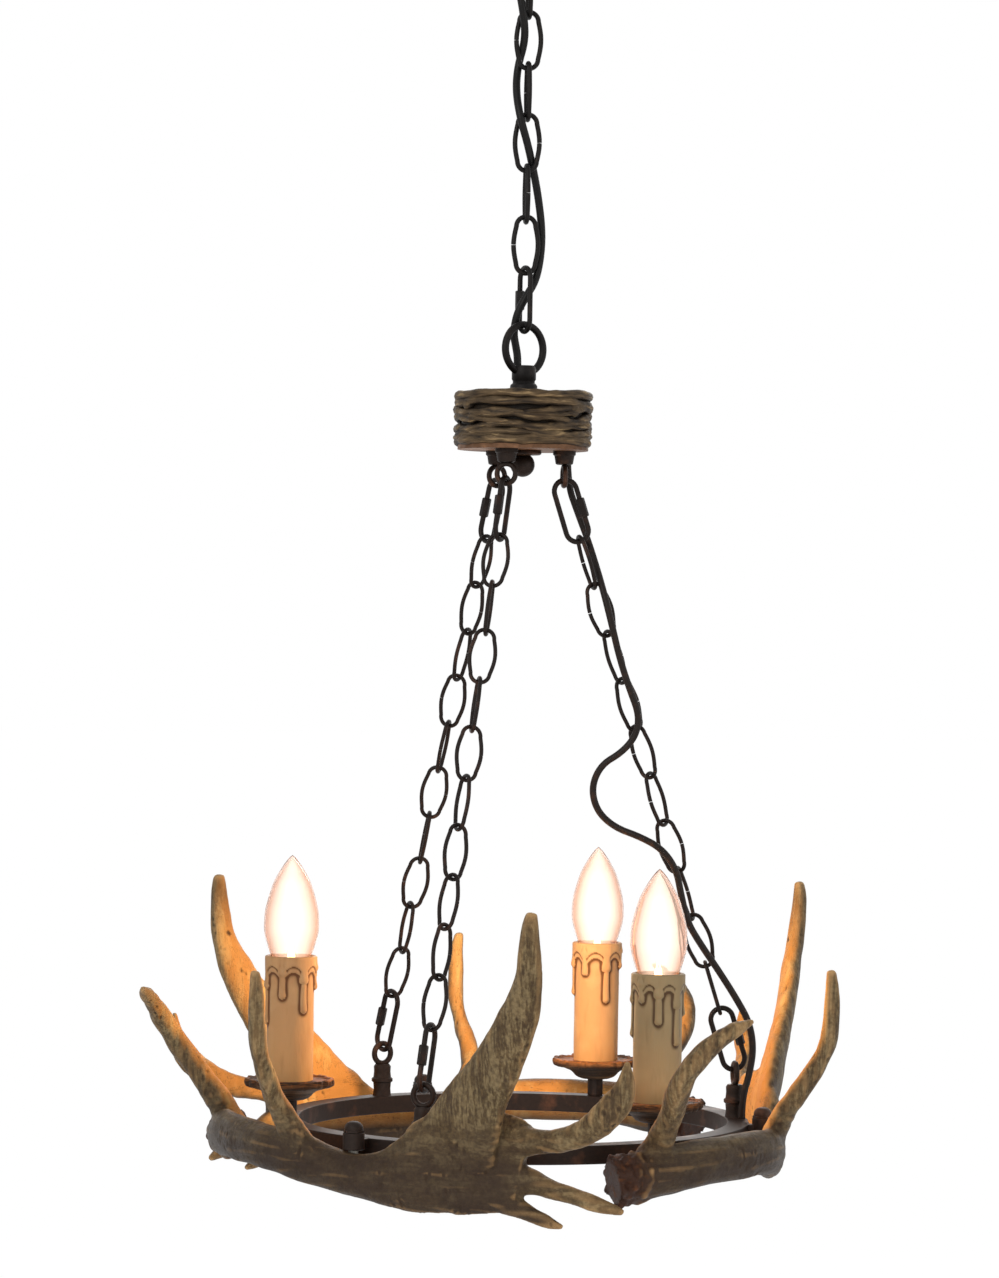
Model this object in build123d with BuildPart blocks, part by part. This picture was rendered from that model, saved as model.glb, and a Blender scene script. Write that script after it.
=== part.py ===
from build123d import *
from math import asin, cos, degrees, pi, radians, sin, sqrt, tan
import os

os.makedirs("parts", exist_ok=True)

# Antler chandelier hung from a ceiling. Millimetres, +Z up.
# The origin is the middle of the ceiling face of the mounting bracket.

# ---- ceiling fitting ----
BRACKET_LENGTH = 92.0
BRACKET_WIDTH = 18.0
BRACKET_STEEL = 1.6
BRACKET_FLAT = 24.0
BRACKET_DROP = 15.0
BRACKET_RAMP = 5.0
SLOT_MARGIN = 9.0
SLOT_SPACING = BRACKET_LENGTH - 2 * SLOT_MARGIN
SLOT_LENGTH = 10.0
SLOT_WIDTH = 5.0
CANOPY_MARGIN = 6.0
CANOPY_RADIUS = BRACKET_LENGTH / 2 + CANOPY_MARGIN
CANOPY_HEIGHT = 27.0
CANOPY_WALL = 1.2
CANOPY_RIM = 5.0
NIPPLE_RADIUS = 5.0
NIPPLE_BORE = 3.2
NIPPLE_GRIP = 6.5
NUT_HEIGHT = 4.0
NUT_RADIUS = 8.5
BLOCK_SIZE = (11.0, 15.0, 10.0)
BLOCK_OFFSET = 16.8
FIT = 0.1
GLAND = Vector(-13.95, -6.2, -CANOPY_HEIGHT)
GLAND_RADIUS = 4.4

# ---- chain and loops ----
LINK_GAP = 0.3
LOOP_RADIUS = 11.0
LOOP_WIRE = 4.0
LOOP_COLLAR_RADIUS = 8.0
LOOP_COLLAR_HEIGHT = 11.0
LOOP_SINK = 1.8
TOP_LINKS = 6
TOP_LINK_INNER = 33.1
TOP_LINK_WIDTH = 19.0
TOP_LINK_WIRE = 3.2
TOP_LINK_BEND = 6.2
QUICK_INNER = 37.5
QUICK_WIDTH = 18.0
QUICK_WIRE = 3.4
QUICK_NUT_RADIUS = 3.1
QUICK_NUT_LENGTH = 12.5
QUICK_OPENING = 7.0
TOP_QUICK_TURN = 109.0
SUSPENSION_LINKS = 10
LINK_INNER = 32.1
LINK_WIDTH = 18.5
LINK_WIRE = 2.6
LINK_BEND = 6.0
LINK_SLIT = 0.8

# ---- hub ----
HUB_LOOP_RADIUS = 15.6
HUB_LOOP_WIRE = 4.8
HUB_LOOP_TURN = 32.0
COLLAR_DROP = 10.7
COLLAR_RADIUS = 7.8
COLLAR_FOOT_RADIUS = 8.75
COLLAR_FOOT_HEIGHT = 5.2
COLLAR_HEIGHT = 17.2
HUB_RADIUS = 45.0
HUB_HEIGHT = 34.0
HUB_WALL = 7.0
HUB_STRANDS = 7
HUB_GROOVE = 2.0
PLATE_THICKNESS = 3.0
FINIAL_RADIUS = 7.8
WASHER_RADIUS = 12.0
WASHER_THICKNESS = 3.0
HUB_EYE_OFFSET = 27.0
HUB_EYE_RADIUS = 6.3
HUB_EYE_WIRE = 3.4
HUB_EYE_FLANGE = 7.35
HUB_EYE_BODY = 8.5

# ---- ring, eye posts, candles ----
RING_RADIUS = 144.0
RING_WIDTH = 14.0
RING_HEIGHT = 11.5
RING_WALL = 2.2
RING_EYE_RADIUS = 6.6
RING_EYE_WIRE = 3.7
RING_EYE_RISE = 28.0
POST_HEIGHT = 21.0
POST_RADIUS = 5.9
POST_FLANGE_RADIUS = 7.0
POST_FLANGE_HEIGHT = 2.4
BOLT_REACH = 16.0
BOLT_OFFSET = RING_RADIUS + BOLT_REACH
BOSS_RADIUS = 6.7
BOSS_RISE = 4.0
BOSS_HEIGHT = 10.5
LUG_WIDTH = 9.0
STUD_RADIUS = 3.0
STUD_DEPTH = 14.0
ACORN_RADIUS = 5.75
ACORN_FLANGE = 6.5
EYE_ANGLE = 0.0
CANDLE_ANGLE = 60.0
BOLT_ANGLE = 105.0
STEM_RADIUS = 5.15
STEM_HEIGHT = 11.5
ROD_RADIUS = 4.0
ROD_BORE = 2.6
DISH_RADIUS = 29.5
DISH_HEIGHT = 14.0
DISH_RIM = 5.0
DISH_FLOOR = 1.5
SLEEVE_RADIUS = 15.0
SLEEVE_HEIGHT = 79.0
SLEEVE_BORE = 13.7
DRIP_DEPTH = 1.0
HOLDER_RADIUS = 12.2
HOLDER_HEIGHT = 36.0
HOLDER_BORE = 7.2
HOLDER_BASE = 18.0
CAP_RADIUS = 6.9
CAP_HEIGHT = 19.0
BULB_RADIUS = 17.5
BULB_HEIGHT = 79.0
BULB_WALL = 0.9
BULB_SEAT = 64.0
BULB_CURVE = [(6.9, 0.0), (13.0, 0.19), (17.3, 0.4), (17.0, 0.56), (12.5, 0.76), (5.0, 0.93), (0.0, 1.0)]
BULB_FLATS = 18
DRIPS = [(10, 44), (65, 27), (118, 36), (170, 22), (226, 40), (280, 18), (322, 31)]

# ---- cords ----
TOP_CORD = 5.0
LOWER_CORD = 4.4

TOP_ROUTE = [
    (-13.95, -6.2, -24.0), (-13.95, -6.2, -44.0), (-8.4, -7.1, -69.9), (-4.3, -7.0, -90.3),
    (-1.9, 1.7, -104.7), (-6.3, 5.8, -122.1), (-7.8, -0.3, -138.9), (-5.2, -5.6, -156.7),
    (0.0, -1.8, -171.6), (4.9, 6.0, -187.0), (8.5, 6.0, -204.9), (11.2, 5.6, -226.0),
    (10.5, 4.4, -243.0), (7.2, 2.3, -259.0), (0.4, -0.3, -269.8), (-4.9, 1.2, -280.2),
    (-6.6, 4.3, -292.6), (-4.8, 5.4, -301.0), (-3.6, 4.6, -307.6), (-3.6, 4.6, -313.8),
]
LOWER_ROUTE = [
    (31.0, 13.0, -365.0), (31.0, 13.0, -388.0), (37.5, 11.8, -406.0), (44.0, 10.3, -423.0),
    (48.9, 4.8, -439.8), (52.3, -7.3, -456.7), (58.0, -10.6, -479.9), (63.0, -11.1, -500.3),
    (69.9, -8.9, -519.5), (76.9, -8.2, -536.8), (74.8, -7.6, -550.2), (66.1, -6.0, -560.9),
    (53.3, -2.4, -569.0), (47.5, -0.3, -583.5), (51.3, 0.0, -598.8), (62.8, -2.8, -609.2),
    (78.0, -9.0, -614.5), (92.0, -12.0, -622.0), (101.5, -13.0, -635.0), (104.8, -14.0, -652.0),
    (109.0, -14.0, -669.0), (118.0, -12.0, -683.0), (131.0, -10.0, -701.0), (143.0, -9.0, -719.0),
    (151.5, -9.0, -734.0), (154.3, -9.0, -750.0), (152.0, -9.5, -766.0), (147.0, -10.5, -782.0),
    (147.0, -10.5, -795.416),
]
CORD_FLATS = 8

# Antler stations: degrees past the bolt, distance outside the ring's middle line, height above the ring top,
# width across the blade, thickness through it. All three antlers are one casting.
BEAM = [
    (-63.7, 41.0, -18.0, 29.0, 26.0),
    (-56.0, 40.5, -14.0, 30.0, 24.0),
    (-40.0, 39.0, -8.5, 29.0, 21.0),
    (-21.6, 32.0, -9.5, 30.0, 20.0),
    (-8.0, 23.0, -16.5, 28.0, 19.0),
    (1.7, 20.5, -21.3, 27.0, 18.0),
    (10.0, 21.0, -20.5, 35.0, 17.0),
    (18.0, 24.0, -15.0, 52.0, 16.0),
    (27.0, 29.0, -8.0, 64.0, 15.0),
    (35.0, 34.5, -7.0, 62.0, 13.0),
    (40.0, 39.0, -9.0, 50.0, 10.0),
]
BROW_TINE = [
    (-57.0, 36.0, -14.0, 22.0, 22.0),
    (-55.0, 44.0, 8.0, 17.0, 17.0),
    (-54.5, 59.0, 27.0, 15.0, 15.5),
    (-55.0, 74.0, 47.0, 14.0, 15.0),
    (-52.5, 84.5, 66.0, 13.5, 13.0),
    (-48.5, 91.0, 77.0, 9.5, 9.5),
    (-45.8, 94.0, 81.0, 3.5, 4.0),
]
FORWARD_TINE = [
    (-12.0, 27.0, -8.0, 26.0, 16.0),
    (-13.5, 37.0, 12.0, 17.0, 14.5),
    (-13.0, 50.0, 32.0, 12.5, 13.0),
    (-11.5, 61.0, 52.0, 10.5, 12.0),
    (-11.0, 66.0, 75.0, 9.5, 10.5),
    (-11.4, 66.0, 94.0, 6.5, 7.5),
    (-11.8, 65.0, 100.5, 2.5, 3.0),
]
MAIN_TINE = [
    (26.5, 31.0, 7.5, 58.0, 14.0),
    (30.5, 39.0, 32.0, 42.0, 14.0),
    (34.2, 52.0, 52.0, 33.0, 13.0),
    (37.0, 64.0, 76.0, 26.5, 12.5),
    (39.2, 72.0, 97.0, 20.0, 12.0),
    (39.5, 78.5, 116.0, 12.5, 11.0),
    (39.6, 81.5, 136.0, 8.5, 8.5),
    (39.8, 81.0, 144.5, 3.0, 3.5),
]
BLADE_TINE = [
    (36.0, 34.0, 6.5, 26.0, 13.0),
    (44.1, 46.0, 7.5, 15.5, 12.0),
    (48.5, 59.0, 13.0, 16.5, 11.0),
    (51.5, 73.0, 22.0, 18.0, 10.0),
    (53.6, 80.0, 35.0, 17.0, 9.0),
    (54.5, 83.0, 49.0, 9.0, 7.0),
    (54.6, 84.0, 58.0, 2.5, 3.0),
]
LOW_TINE = [
    (36.0, 34.0, -15.0, 26.0, 13.0),
    (44.5, 41.0, -21.4, 13.0, 11.0),
    (49.4, 46.5, -26.1, 11.0, 10.0),
    (54.1, 52.5, -31.0, 9.5, 9.0),
    (57.0, 56.0, -34.2, 4.0, 4.5),
]
STUB_TINE = [
    (33.0, 32.5, -26.0, 20.0, 12.0),
    (38.5, 36.5, -33.2, 13.0, 10.0),
    (42.5, 39.5, -38.6, 9.5, 8.5),
    (46.9, 43.0, -44.0, 3.5, 4.0),
]
BLADE_LEAN = 20.0
LIMBS = [
    (BEAM, 0.0, 10), (BROW_TINE, 0.0, 8), (FORWARD_TINE, 0.0, 8), (MAIN_TINE, BLADE_LEAN, 8),
    (BLADE_TINE, BLADE_LEAN, 8), (LOW_TINE, BLADE_LEAN, 8), (STUB_TINE, BLADE_LEAN, 8),
]

# ---- heights that follow from the sizes above ----
LOOP_Z = -CANOPY_HEIGHT - LOOP_COLLAR_HEIGHT - LOOP_RADIUS + LOOP_SINK
FIRST_LINK_TOP = LOOP_Z - LOOP_RADIUS + LOOP_WIRE / 2 + LINK_GAP
TOP_PITCH = TOP_LINK_INNER - LINK_GAP
QUICK_TOP = FIRST_LINK_TOP - TOP_LINKS * TOP_PITCH
QUICK_BOTTOM = QUICK_TOP - QUICK_INNER
HUB_LOOP_Z = QUICK_BOTTOM + LINK_GAP + HUB_LOOP_WIRE / 2 - HUB_LOOP_RADIUS
COLLAR_TOP = HUB_LOOP_Z - COLLAR_DROP
HUB_TOP = COLLAR_TOP - COLLAR_HEIGHT
HUB_BOTTOM = HUB_TOP - HUB_HEIGHT
HUB_EYE_Z = HUB_BOTTOM - PLATE_THICKNESS - HUB_EYE_BODY - HUB_EYE_RADIUS - HUB_EYE_WIRE / 2 + 0.5
EYE_LOW_Z = HUB_EYE_Z - HUB_EYE_RADIUS
CHAIN_START = -HUB_EYE_WIRE / 2 - LINK_GAP
CHAIN_RUN = 2 * (QUICK_INNER - LINK_GAP) + SUSPENSION_LINKS * (LINK_INNER - LINK_GAP)
CHAIN_SPAN = CHAIN_START + CHAIN_RUN - RING_EYE_WIRE / 2
CHAIN_SPREAD = RING_RADIUS - HUB_EYE_OFFSET
CHAIN_FALL = sqrt(CHAIN_SPAN**2 - CHAIN_SPREAD**2)
RING_EYE_Z = EYE_LOW_Z - CHAIN_FALL - RING_EYE_RADIUS
RING_TOP = RING_EYE_Z - RING_EYE_RISE
RING_BOTTOM = RING_TOP - RING_HEIGHT
DISH_Z = RING_TOP + STEM_HEIGHT
SLEEVE_Z = DISH_Z + DISH_HEIGHT - DISH_FLOOR
SLEEVE_TOP = SLEEVE_Z + SLEEVE_HEIGHT
GLASS_Z = SLEEVE_TOP + BULB_SEAT - BULB_HEIGHT
THIRDS = (0.0, 120.0, 240.0)

# ---- how finely bent wire and small turned parts are cut into flats ----
END_STEPS = 4
ROUND = 16
THREAD = 12
RING_FLATS = 60


def around(angle, radius, height):
    """A place at an angle and distance round the lamp's vertical axis."""
    return Vector(radius * cos(radians(angle)), radius * sin(radians(angle)), height)


CORD_HOLE = Vector(*LOWER_ROUTE[0])
PLATE_BOTTOM = HUB_BOTTOM - PLATE_THICKNESS


def save(part, name):
    """Labels a finished piece and writes its file."""
    part.label = name
    export_step(part, f"parts/{name}.step")


def skin(rings, closed=False):
    """A solid of flat faces through rings of points, capped at both ends or joined end to end."""
    pairs = list(zip(rings, rings[1:]))
    if closed:
        pairs.append((rings[-1], rings[0]))
    faces = []
    for low, high in pairs:
        for number in range(len(low)):
            following = (number + 1) % len(low)
            quad = [low[number], low[following], high[following], high[number]]
            corners = [corner for place, corner in enumerate(quad) if (corner - quad[place - 1]).length > 1e-6]
            if len(corners) < 3:
                continue
            normal = (corners[1] - corners[0]).cross(corners[2] - corners[0]).normalized()
            if abs((corners[-1] - corners[0]).dot(normal)) < 1e-5:
                faces.append(Face(Wire.make_polygon(corners)))
            else:
                faces.append(Face(Wire.make_polygon([quad[0], quad[1], quad[2]])))
                faces.append(Face(Wire.make_polygon([quad[0], quad[2], quad[3]])))
    if not closed:
        faces += [Face(Wire.make_polygon(rings[0])), Face(Wire.make_polygon(rings[-1]))]
    return Solid(Shell(faces))


def turned(profile, sides):
    """A turned piece of many flats from a closed outline of distances and heights."""
    rings = []
    for radius, height in profile:
        rings.append([around(360 * number / sides, radius, height) for number in range(sides)])
    return skin(rings, closed=True)


def wire_solid(points, wire, sides, closed=False):
    """A wire of many flats along straight runs in the XZ plane, mitred where it bends."""
    last = len(points) - 1
    rings = []
    for number, point in enumerate(points):
        ahead = points[(number + 1) % len(points)] - point
        behind = point - points[number - 1]
        if not closed and number == 0:
            behind = ahead
        if not closed and number == last:
            ahead = behind
        run = (ahead.normalized() + behind.normalized()).normalized()
        across = Vector(0, 1, 0).cross(run) * (1 / run.dot(ahead.normalized()))
        turns = [2 * pi * (step + 0.5) / sides for step in range(sides)]
        rings.append([
            point + across * (wire / 2 * cos(turn)) + Vector(0, wire / 2 * sin(turn), 0) for turn in turns
        ])
    return skin(rings, closed)


def link_points(half_length, half_width, end_radius, opening):
    """Corner points of a link's centre line, from one side of its opening round to the other."""
    reach = half_length - end_radius
    points = [Vector(half_width, 0, opening / 2)]
    for step in range(END_STEPS):
        angle = radians((step + 0.5) * 180 / END_STEPS)
        spread = end_radius / cos(radians(90 / END_STEPS))
        points.append(Vector(spread * cos(angle), 0, reach + spread * sin(angle)))
    if half_width > end_radius:
        points.append(Vector(-half_width, 0, 0))
    lower = [Vector(point.X, 0, -point.Z) for point in reversed(points)]
    return points + lower[1:] if half_width > end_radius else points + lower


def link_solid(inner, width, wire, end_radius, opening, sides):
    """One bent wire link, standing upright about its own middle."""
    points = link_points((inner + wire) / 2, (width - wire) / 2, end_radius, opening)
    return wire_solid(points, wire, sides)


def quick_nut_solid():
    """The hexagonal sleeve nut that closes a quick link."""
    with BuildPart(mode=Mode.PRIVATE) as nut:
        with BuildSketch(Plane.XY.offset(-QUICK_NUT_LENGTH / 2)):
            with Locations(((QUICK_WIDTH - QUICK_WIRE) / 2, 0)):
                RegularPolygon(QUICK_NUT_RADIUS, 6)
                RegularPolygon(QUICK_WIRE / 2 + 2 * FIT, 8, mode=Mode.SUBTRACT)
        extrude(amount=QUICK_NUT_LENGTH)
    return nut.part


def eye_solid(radius, wire, sides=6, steps=14):
    """A closed wire eye about the origin, in the XZ plane."""
    spread = radius / cos(pi / steps) ** 0.5
    turns = [2 * pi * (number + 0.5) / steps for number in range(steps)]
    points = [Vector(spread * cos(turn), 0, spread * sin(turn)) for turn in turns]
    return wire_solid(points, wire, sides, closed=True)


def tube(radius, bore, bottom, top, sides=ROUND):
    """A straight tube or rod of many flats, from one height to another."""
    with BuildPart(mode=Mode.PRIVATE) as piece:
        with BuildSketch(Plane.XY.offset(bottom)):
            RegularPolygon(radius, sides)
            if bore:
                RegularPolygon(bore, sides, mode=Mode.SUBTRACT)
        extrude(amount=top - bottom)
    return piece.part


def hung(solid, place, turn, lean=0.0, heading=0.0):
    """A copy turned about its own length, leant outwards, swung round the lamp and moved to its place."""
    turned = solid.rotate(Axis.Z, turn).rotate(Axis.Y, lean).rotate(Axis.Z, heading)
    return turned.translate(place)


# ---- ceiling bracket: a strip of steel with a lowered middle ----
half = BRACKET_LENGTH / 2
ramp_end = BRACKET_FLAT + BRACKET_RAMP
STEP_Z = -BRACKET_DROP + BRACKET_STEEL
with BuildPart() as ceiling_bracket:
    with BuildSketch(Plane.XZ.offset(-BRACKET_WIDTH / 2)):
        with BuildLine():
            Polyline(
                (-half, 0), (half, 0), (half, -BRACKET_STEEL), (ramp_end, -BRACKET_STEEL),
                (BRACKET_FLAT, -BRACKET_DROP), (-BRACKET_FLAT, -BRACKET_DROP), (-ramp_end, -BRACKET_STEEL),
                (-half, -BRACKET_STEEL), close=True,
            )
        make_face()
        with BuildLine():
            Polyline(
                (-ramp_end, 0), (ramp_end, 0), (BRACKET_FLAT, STEP_Z), (-BRACKET_FLAT, STEP_Z), close=True,
            )
        make_face(mode=Mode.SUBTRACT)
    extrude(amount=BRACKET_WIDTH)
    with BuildSketch(Plane.XY):
        with Locations((SLOT_SPACING / 2, 0), (-SLOT_SPACING / 2, 0)):
            SlotOverall(SLOT_LENGTH, SLOT_WIDTH)
        RegularPolygon(NIPPLE_RADIUS + FIT, THREAD)
    extrude(amount=-BRACKET_DROP - 1, mode=Mode.SUBTRACT)
save(ceiling_bracket.part, "ceiling_bracket")

# ---- canopy: a spun metal cup with a flat face, open against the ceiling ----
with BuildPart() as ceiling_canopy:
    drop = CANOPY_HEIGHT - CANOPY_RIM
    face = -CANOPY_HEIGHT
    outside = []
    inside = []
    for turn in (0, 45, 90):
        across = cos(radians(turn))
        down = sin(radians(turn))
        outside.append((CANOPY_RADIUS - drop * (1 - across), -CANOPY_RIM - drop * down))
        inside.append((outside[-1][0] - CANOPY_WALL * across, outside[-1][1] + CANOPY_WALL * down))
    outline = [(CANOPY_RADIUS, 0), *outside, (NIPPLE_RADIUS + FIT, face)]
    outline += [(NIPPLE_RADIUS + FIT, face + CANOPY_WALL), *reversed(inside), (CANOPY_RADIUS - CANOPY_WALL, 0)]
    add(turned(outline, 40))
    with BuildSketch(Plane.XY.offset(face)):
        with Locations((GLAND.X, GLAND.Y)):
            RegularPolygon(GLAND_RADIUS - 0.9, ROUND)
    extrude(amount=CANOPY_WALL, mode=Mode.SUBTRACT)
save(ceiling_canopy.part, "ceiling_canopy")

# ---- threaded tube that carries the lamp, and its two nuts ----
with BuildPart() as mounting_nipple:
    add(tube(NIPPLE_RADIUS, NIPPLE_BORE, -CANOPY_HEIGHT - NIPPLE_GRIP, STEP_Z + NUT_HEIGHT + 2.0, THREAD))
save(mounting_nipple.part, "mounting_nipple")

with BuildPart() as mounting_nuts:
    for height in (STEP_Z, -CANOPY_HEIGHT + CANOPY_WALL):
        with BuildSketch(Plane.XY.offset(height)):
            RegularPolygon(NUT_RADIUS, 6, major_radius=False)
            RegularPolygon(NIPPLE_RADIUS + FIT, THREAD, mode=Mode.SUBTRACT)
        extrude(amount=NUT_HEIGHT)
save(mounting_nuts.part, "mounting_nuts")

# ---- terminal block on the bracket, with its wire entries ----
with BuildPart() as terminal_block:
    with Locations((BLOCK_OFFSET, 0, STEP_Z)):
        Box(*BLOCK_SIZE, align=(Align.CENTER, Align.CENTER, Align.MIN))
    with BuildSketch(Plane.XY.offset(STEP_Z + BLOCK_SIZE[2])):
        with Locations((BLOCK_OFFSET, 0)):
            with GridLocations(0, BLOCK_SIZE[1] / 3, 1, 3):
                Rectangle(BLOCK_SIZE[0] / 2, 3.0)
    extrude(amount=-BLOCK_SIZE[2] / 2, mode=Mode.SUBTRACT)
save(terminal_block.part, "terminal_block")

# ---- bush in the canopy where the cord comes out ----
with BuildPart() as canopy_cord_bush:
    add(tube(GLAND_RADIUS - 1.0, TOP_CORD / 2 + FIT, 0, CANOPY_WALL + 1.5))
    add(tube(GLAND_RADIUS, TOP_CORD / 2 + FIT, -3.5, 0))
save(canopy_cord_bush.part.translate(GLAND), "canopy_cord_bush")

# ---- loop under the canopy: a ring cast on a threaded collar ----
with BuildPart() as canopy_loop:
    add(tube(LOOP_COLLAR_RADIUS, 0, -CANOPY_HEIGHT - LOOP_COLLAR_HEIGHT, -CANOPY_HEIGHT, 20))
    add(tube(LOOP_COLLAR_RADIUS - 1.5, 0, LOOP_Z + LOOP_RADIUS - 1.0, -CANOPY_HEIGHT - LOOP_COLLAR_HEIGHT))
    add(eye_solid(LOOP_RADIUS, LOOP_WIRE).translate((0, 0, LOOP_Z)))
    with BuildSketch(Plane.XY.offset(-CANOPY_HEIGHT)):
        RegularPolygon(NIPPLE_RADIUS + FIT, THREAD)
    extrude(amount=-NIPPLE_GRIP - FIT, mode=Mode.SUBTRACT)
save(canopy_loop.part, "canopy_loop")

# ---- top chain: every link is turned a quarter from the one above it ----
top_link = link_solid(TOP_LINK_INNER, TOP_LINK_WIDTH, TOP_LINK_WIRE, TOP_LINK_BEND, LINK_SLIT, 8)
for number in range(TOP_LINKS):
    middle = FIRST_LINK_TOP - TOP_LINK_INNER / 2 - number * TOP_PITCH
    link = hung(top_link, (0, 0, middle), 90 * ((number + 1) % 2) + 180 * ((number + 2) % 4 // 2))
    save(link, f"chain_link_{number + 1}")

quick_link = link_solid(
    QUICK_INNER, QUICK_WIDTH, QUICK_WIRE, (QUICK_WIDTH - QUICK_WIRE) / 2, QUICK_OPENING, 8
)
quick_nut = quick_nut_solid()
quick_middle = (0, 0, QUICK_TOP - QUICK_INNER / 2)
save(hung(quick_link, quick_middle, TOP_QUICK_TURN), "top_quick_link")
save(hung(quick_nut, quick_middle, TOP_QUICK_TURN), "top_quick_link_nut")

# ---- loop on the hub: a ring in a turned collar ----
with BuildPart() as hub_loop:
    add(tube(COLLAR_FOOT_RADIUS, 0, HUB_TOP, HUB_TOP + COLLAR_FOOT_HEIGHT, 20))
    add(tube(COLLAR_RADIUS, 0, HUB_TOP + COLLAR_FOOT_HEIGHT, COLLAR_TOP, 20))
    add(eye_solid(HUB_LOOP_RADIUS, HUB_LOOP_WIRE).rotate(Axis.Z, HUB_LOOP_TURN)
        .translate((0, 0, HUB_LOOP_Z)))
    with BuildSketch(Plane.XY.offset(HUB_TOP)):
        RegularPolygon(NIPPLE_RADIUS + FIT, THREAD)
    extrude(amount=NIPPLE_GRIP + FIT, mode=Mode.SUBTRACT)
save(hub_loop.part, "hub_loop")

# ---- hub shell: resin carved as strands of twig wound round a disc ----
strand = HUB_HEIGHT / HUB_STRANDS
with BuildPart() as hub_shell:
    outline = [(NIPPLE_RADIUS + FIT, HUB_TOP)]
    for number in range(HUB_STRANDS):
        top = HUB_TOP - number * strand
        outline += [(HUB_RADIUS - HUB_GROOVE, top), (HUB_RADIUS, top - strand / 2)]
    outline += [
        (HUB_RADIUS - HUB_GROOVE, HUB_BOTTOM), (HUB_RADIUS - HUB_WALL, HUB_BOTTOM),
        (HUB_RADIUS - HUB_WALL, HUB_TOP - HUB_WALL), (NIPPLE_RADIUS + FIT, HUB_TOP - HUB_WALL),
    ]
    add(turned(outline, 32))
save(hub_shell.part, "hub_shell")

# ---- plate that closes the hub, with holes for the eye bolts and the cord ----
with BuildPart() as hub_plate:
    with BuildSketch(Plane.XY.offset(HUB_BOTTOM)):
        RegularPolygon(HUB_RADIUS - HUB_GROOVE - 1.0, 32)
        RegularPolygon(NIPPLE_RADIUS + FIT, THREAD, mode=Mode.SUBTRACT)
        with PolarLocations(HUB_EYE_OFFSET, 3):
            RegularPolygon(STUD_RADIUS + FIT, THREAD, mode=Mode.SUBTRACT)
        with Locations((CORD_HOLE.X, CORD_HOLE.Y)):
            RegularPolygon(LOWER_CORD / 2 + 0.3, THREAD, mode=Mode.SUBTRACT)
    extrude(amount=-PLATE_THICKNESS)
save(hub_plate.part, "hub_plate")

# ---- threaded tube down the middle of the hub, its washer and ball ----
WASHER_BOTTOM = PLATE_BOTTOM - WASHER_THICKNESS
with BuildPart() as hub_nipple:
    add(tube(NIPPLE_RADIUS, NIPPLE_BORE, WASHER_BOTTOM - 4.0, HUB_TOP + NIPPLE_GRIP, THREAD))
save(hub_nipple.part, "hub_nipple")

with BuildPart() as finial_washer:
    with BuildSketch(Plane.XY.offset(PLATE_BOTTOM)):
        RegularPolygon(WASHER_RADIUS, 24)
        RegularPolygon(NIPPLE_RADIUS + FIT, THREAD, mode=Mode.SUBTRACT)
    extrude(amount=-WASHER_THICKNESS)
save(finial_washer.part, "finial_washer")

with BuildPart() as hub_finial:
    middle = WASHER_BOTTOM + 1.5 - FINIAL_RADIUS
    outline = [(0, WASHER_BOTTOM)]
    for turn in (36, 66, 90, 114, 144):
        outline.append((FINIAL_RADIUS * sin(radians(turn)), middle + FINIAL_RADIUS * cos(radians(turn))))
    outline[1] = (outline[1][0], WASHER_BOTTOM)
    outline.append((0, middle - FINIAL_RADIUS))
    add(turned(outline, ROUND))
    with BuildSketch(Plane.XY.offset(WASHER_BOTTOM)):
        RegularPolygon(NIPPLE_RADIUS + FIT, THREAD)
    extrude(amount=-4.0 - FIT, mode=Mode.SUBTRACT)
save(hub_finial.part, "hub_finial")

# ---- eye bolts under the hub, each with a nut inside it ----
with BuildPart(mode=Mode.PRIVATE) as hub_eyebolt:
    add(tube(HUB_EYE_FLANGE, 0, -3.0, 0))
    add(turned([
        (0, -3.0), (HUB_EYE_FLANGE - 0.9, -3.0), (HUB_EYE_FLANGE - 1.9, -HUB_EYE_BODY), (0, -HUB_EYE_BODY),
    ], ROUND))
    add(tube(STUD_RADIUS, 0, 0, PLATE_THICKNESS + NUT_HEIGHT + 2.0, THREAD))
    add(eye_solid(HUB_EYE_RADIUS, HUB_EYE_WIRE).rotate(Axis.Z, 90)
        .translate((0, 0, HUB_EYE_Z - PLATE_BOTTOM)))
with BuildPart() as hub_eyebolts:
    for angle in THIRDS:
        add(hub_eyebolt.part.translate((HUB_EYE_OFFSET, 0, PLATE_BOTTOM)).rotate(Axis.Z, angle))
save(hub_eyebolts.part, "hub_eyebolts")

with BuildPart() as hub_eye_nuts:
    with BuildSketch(Plane.XY.offset(HUB_BOTTOM)):
        with PolarLocations(HUB_EYE_OFFSET, 3):
            RegularPolygon(5.0, 6, major_radius=False)
            RegularPolygon(STUD_RADIUS + FIT, THREAD, mode=Mode.SUBTRACT)
    extrude(amount=NUT_HEIGHT)
save(hub_eye_nuts.part, "hub_eye_nuts")

# ---- wire connector inside the hub ----
with BuildPart() as hub_connector:
    with Locations(around(CANDLE_ANGLE + 120, 22.0, HUB_BOTTOM)):
        Box(12.0, 18.0, 9.0, align=(Align.CENTER, Align.CENTER, Align.MIN))
save(hub_connector.part, "hub_connector")

# ---- three suspension chains: quick link, ten links, quick link ----
chain_lean = -degrees(asin(CHAIN_SPREAD / CHAIN_SPAN))
small_link = link_solid(LINK_INNER, LINK_WIDTH, LINK_WIRE, LINK_BEND, LINK_SLIT, 6)
step_turn = 90.0 + 90.0 / (SUSPENSION_LINKS + 1)


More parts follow.
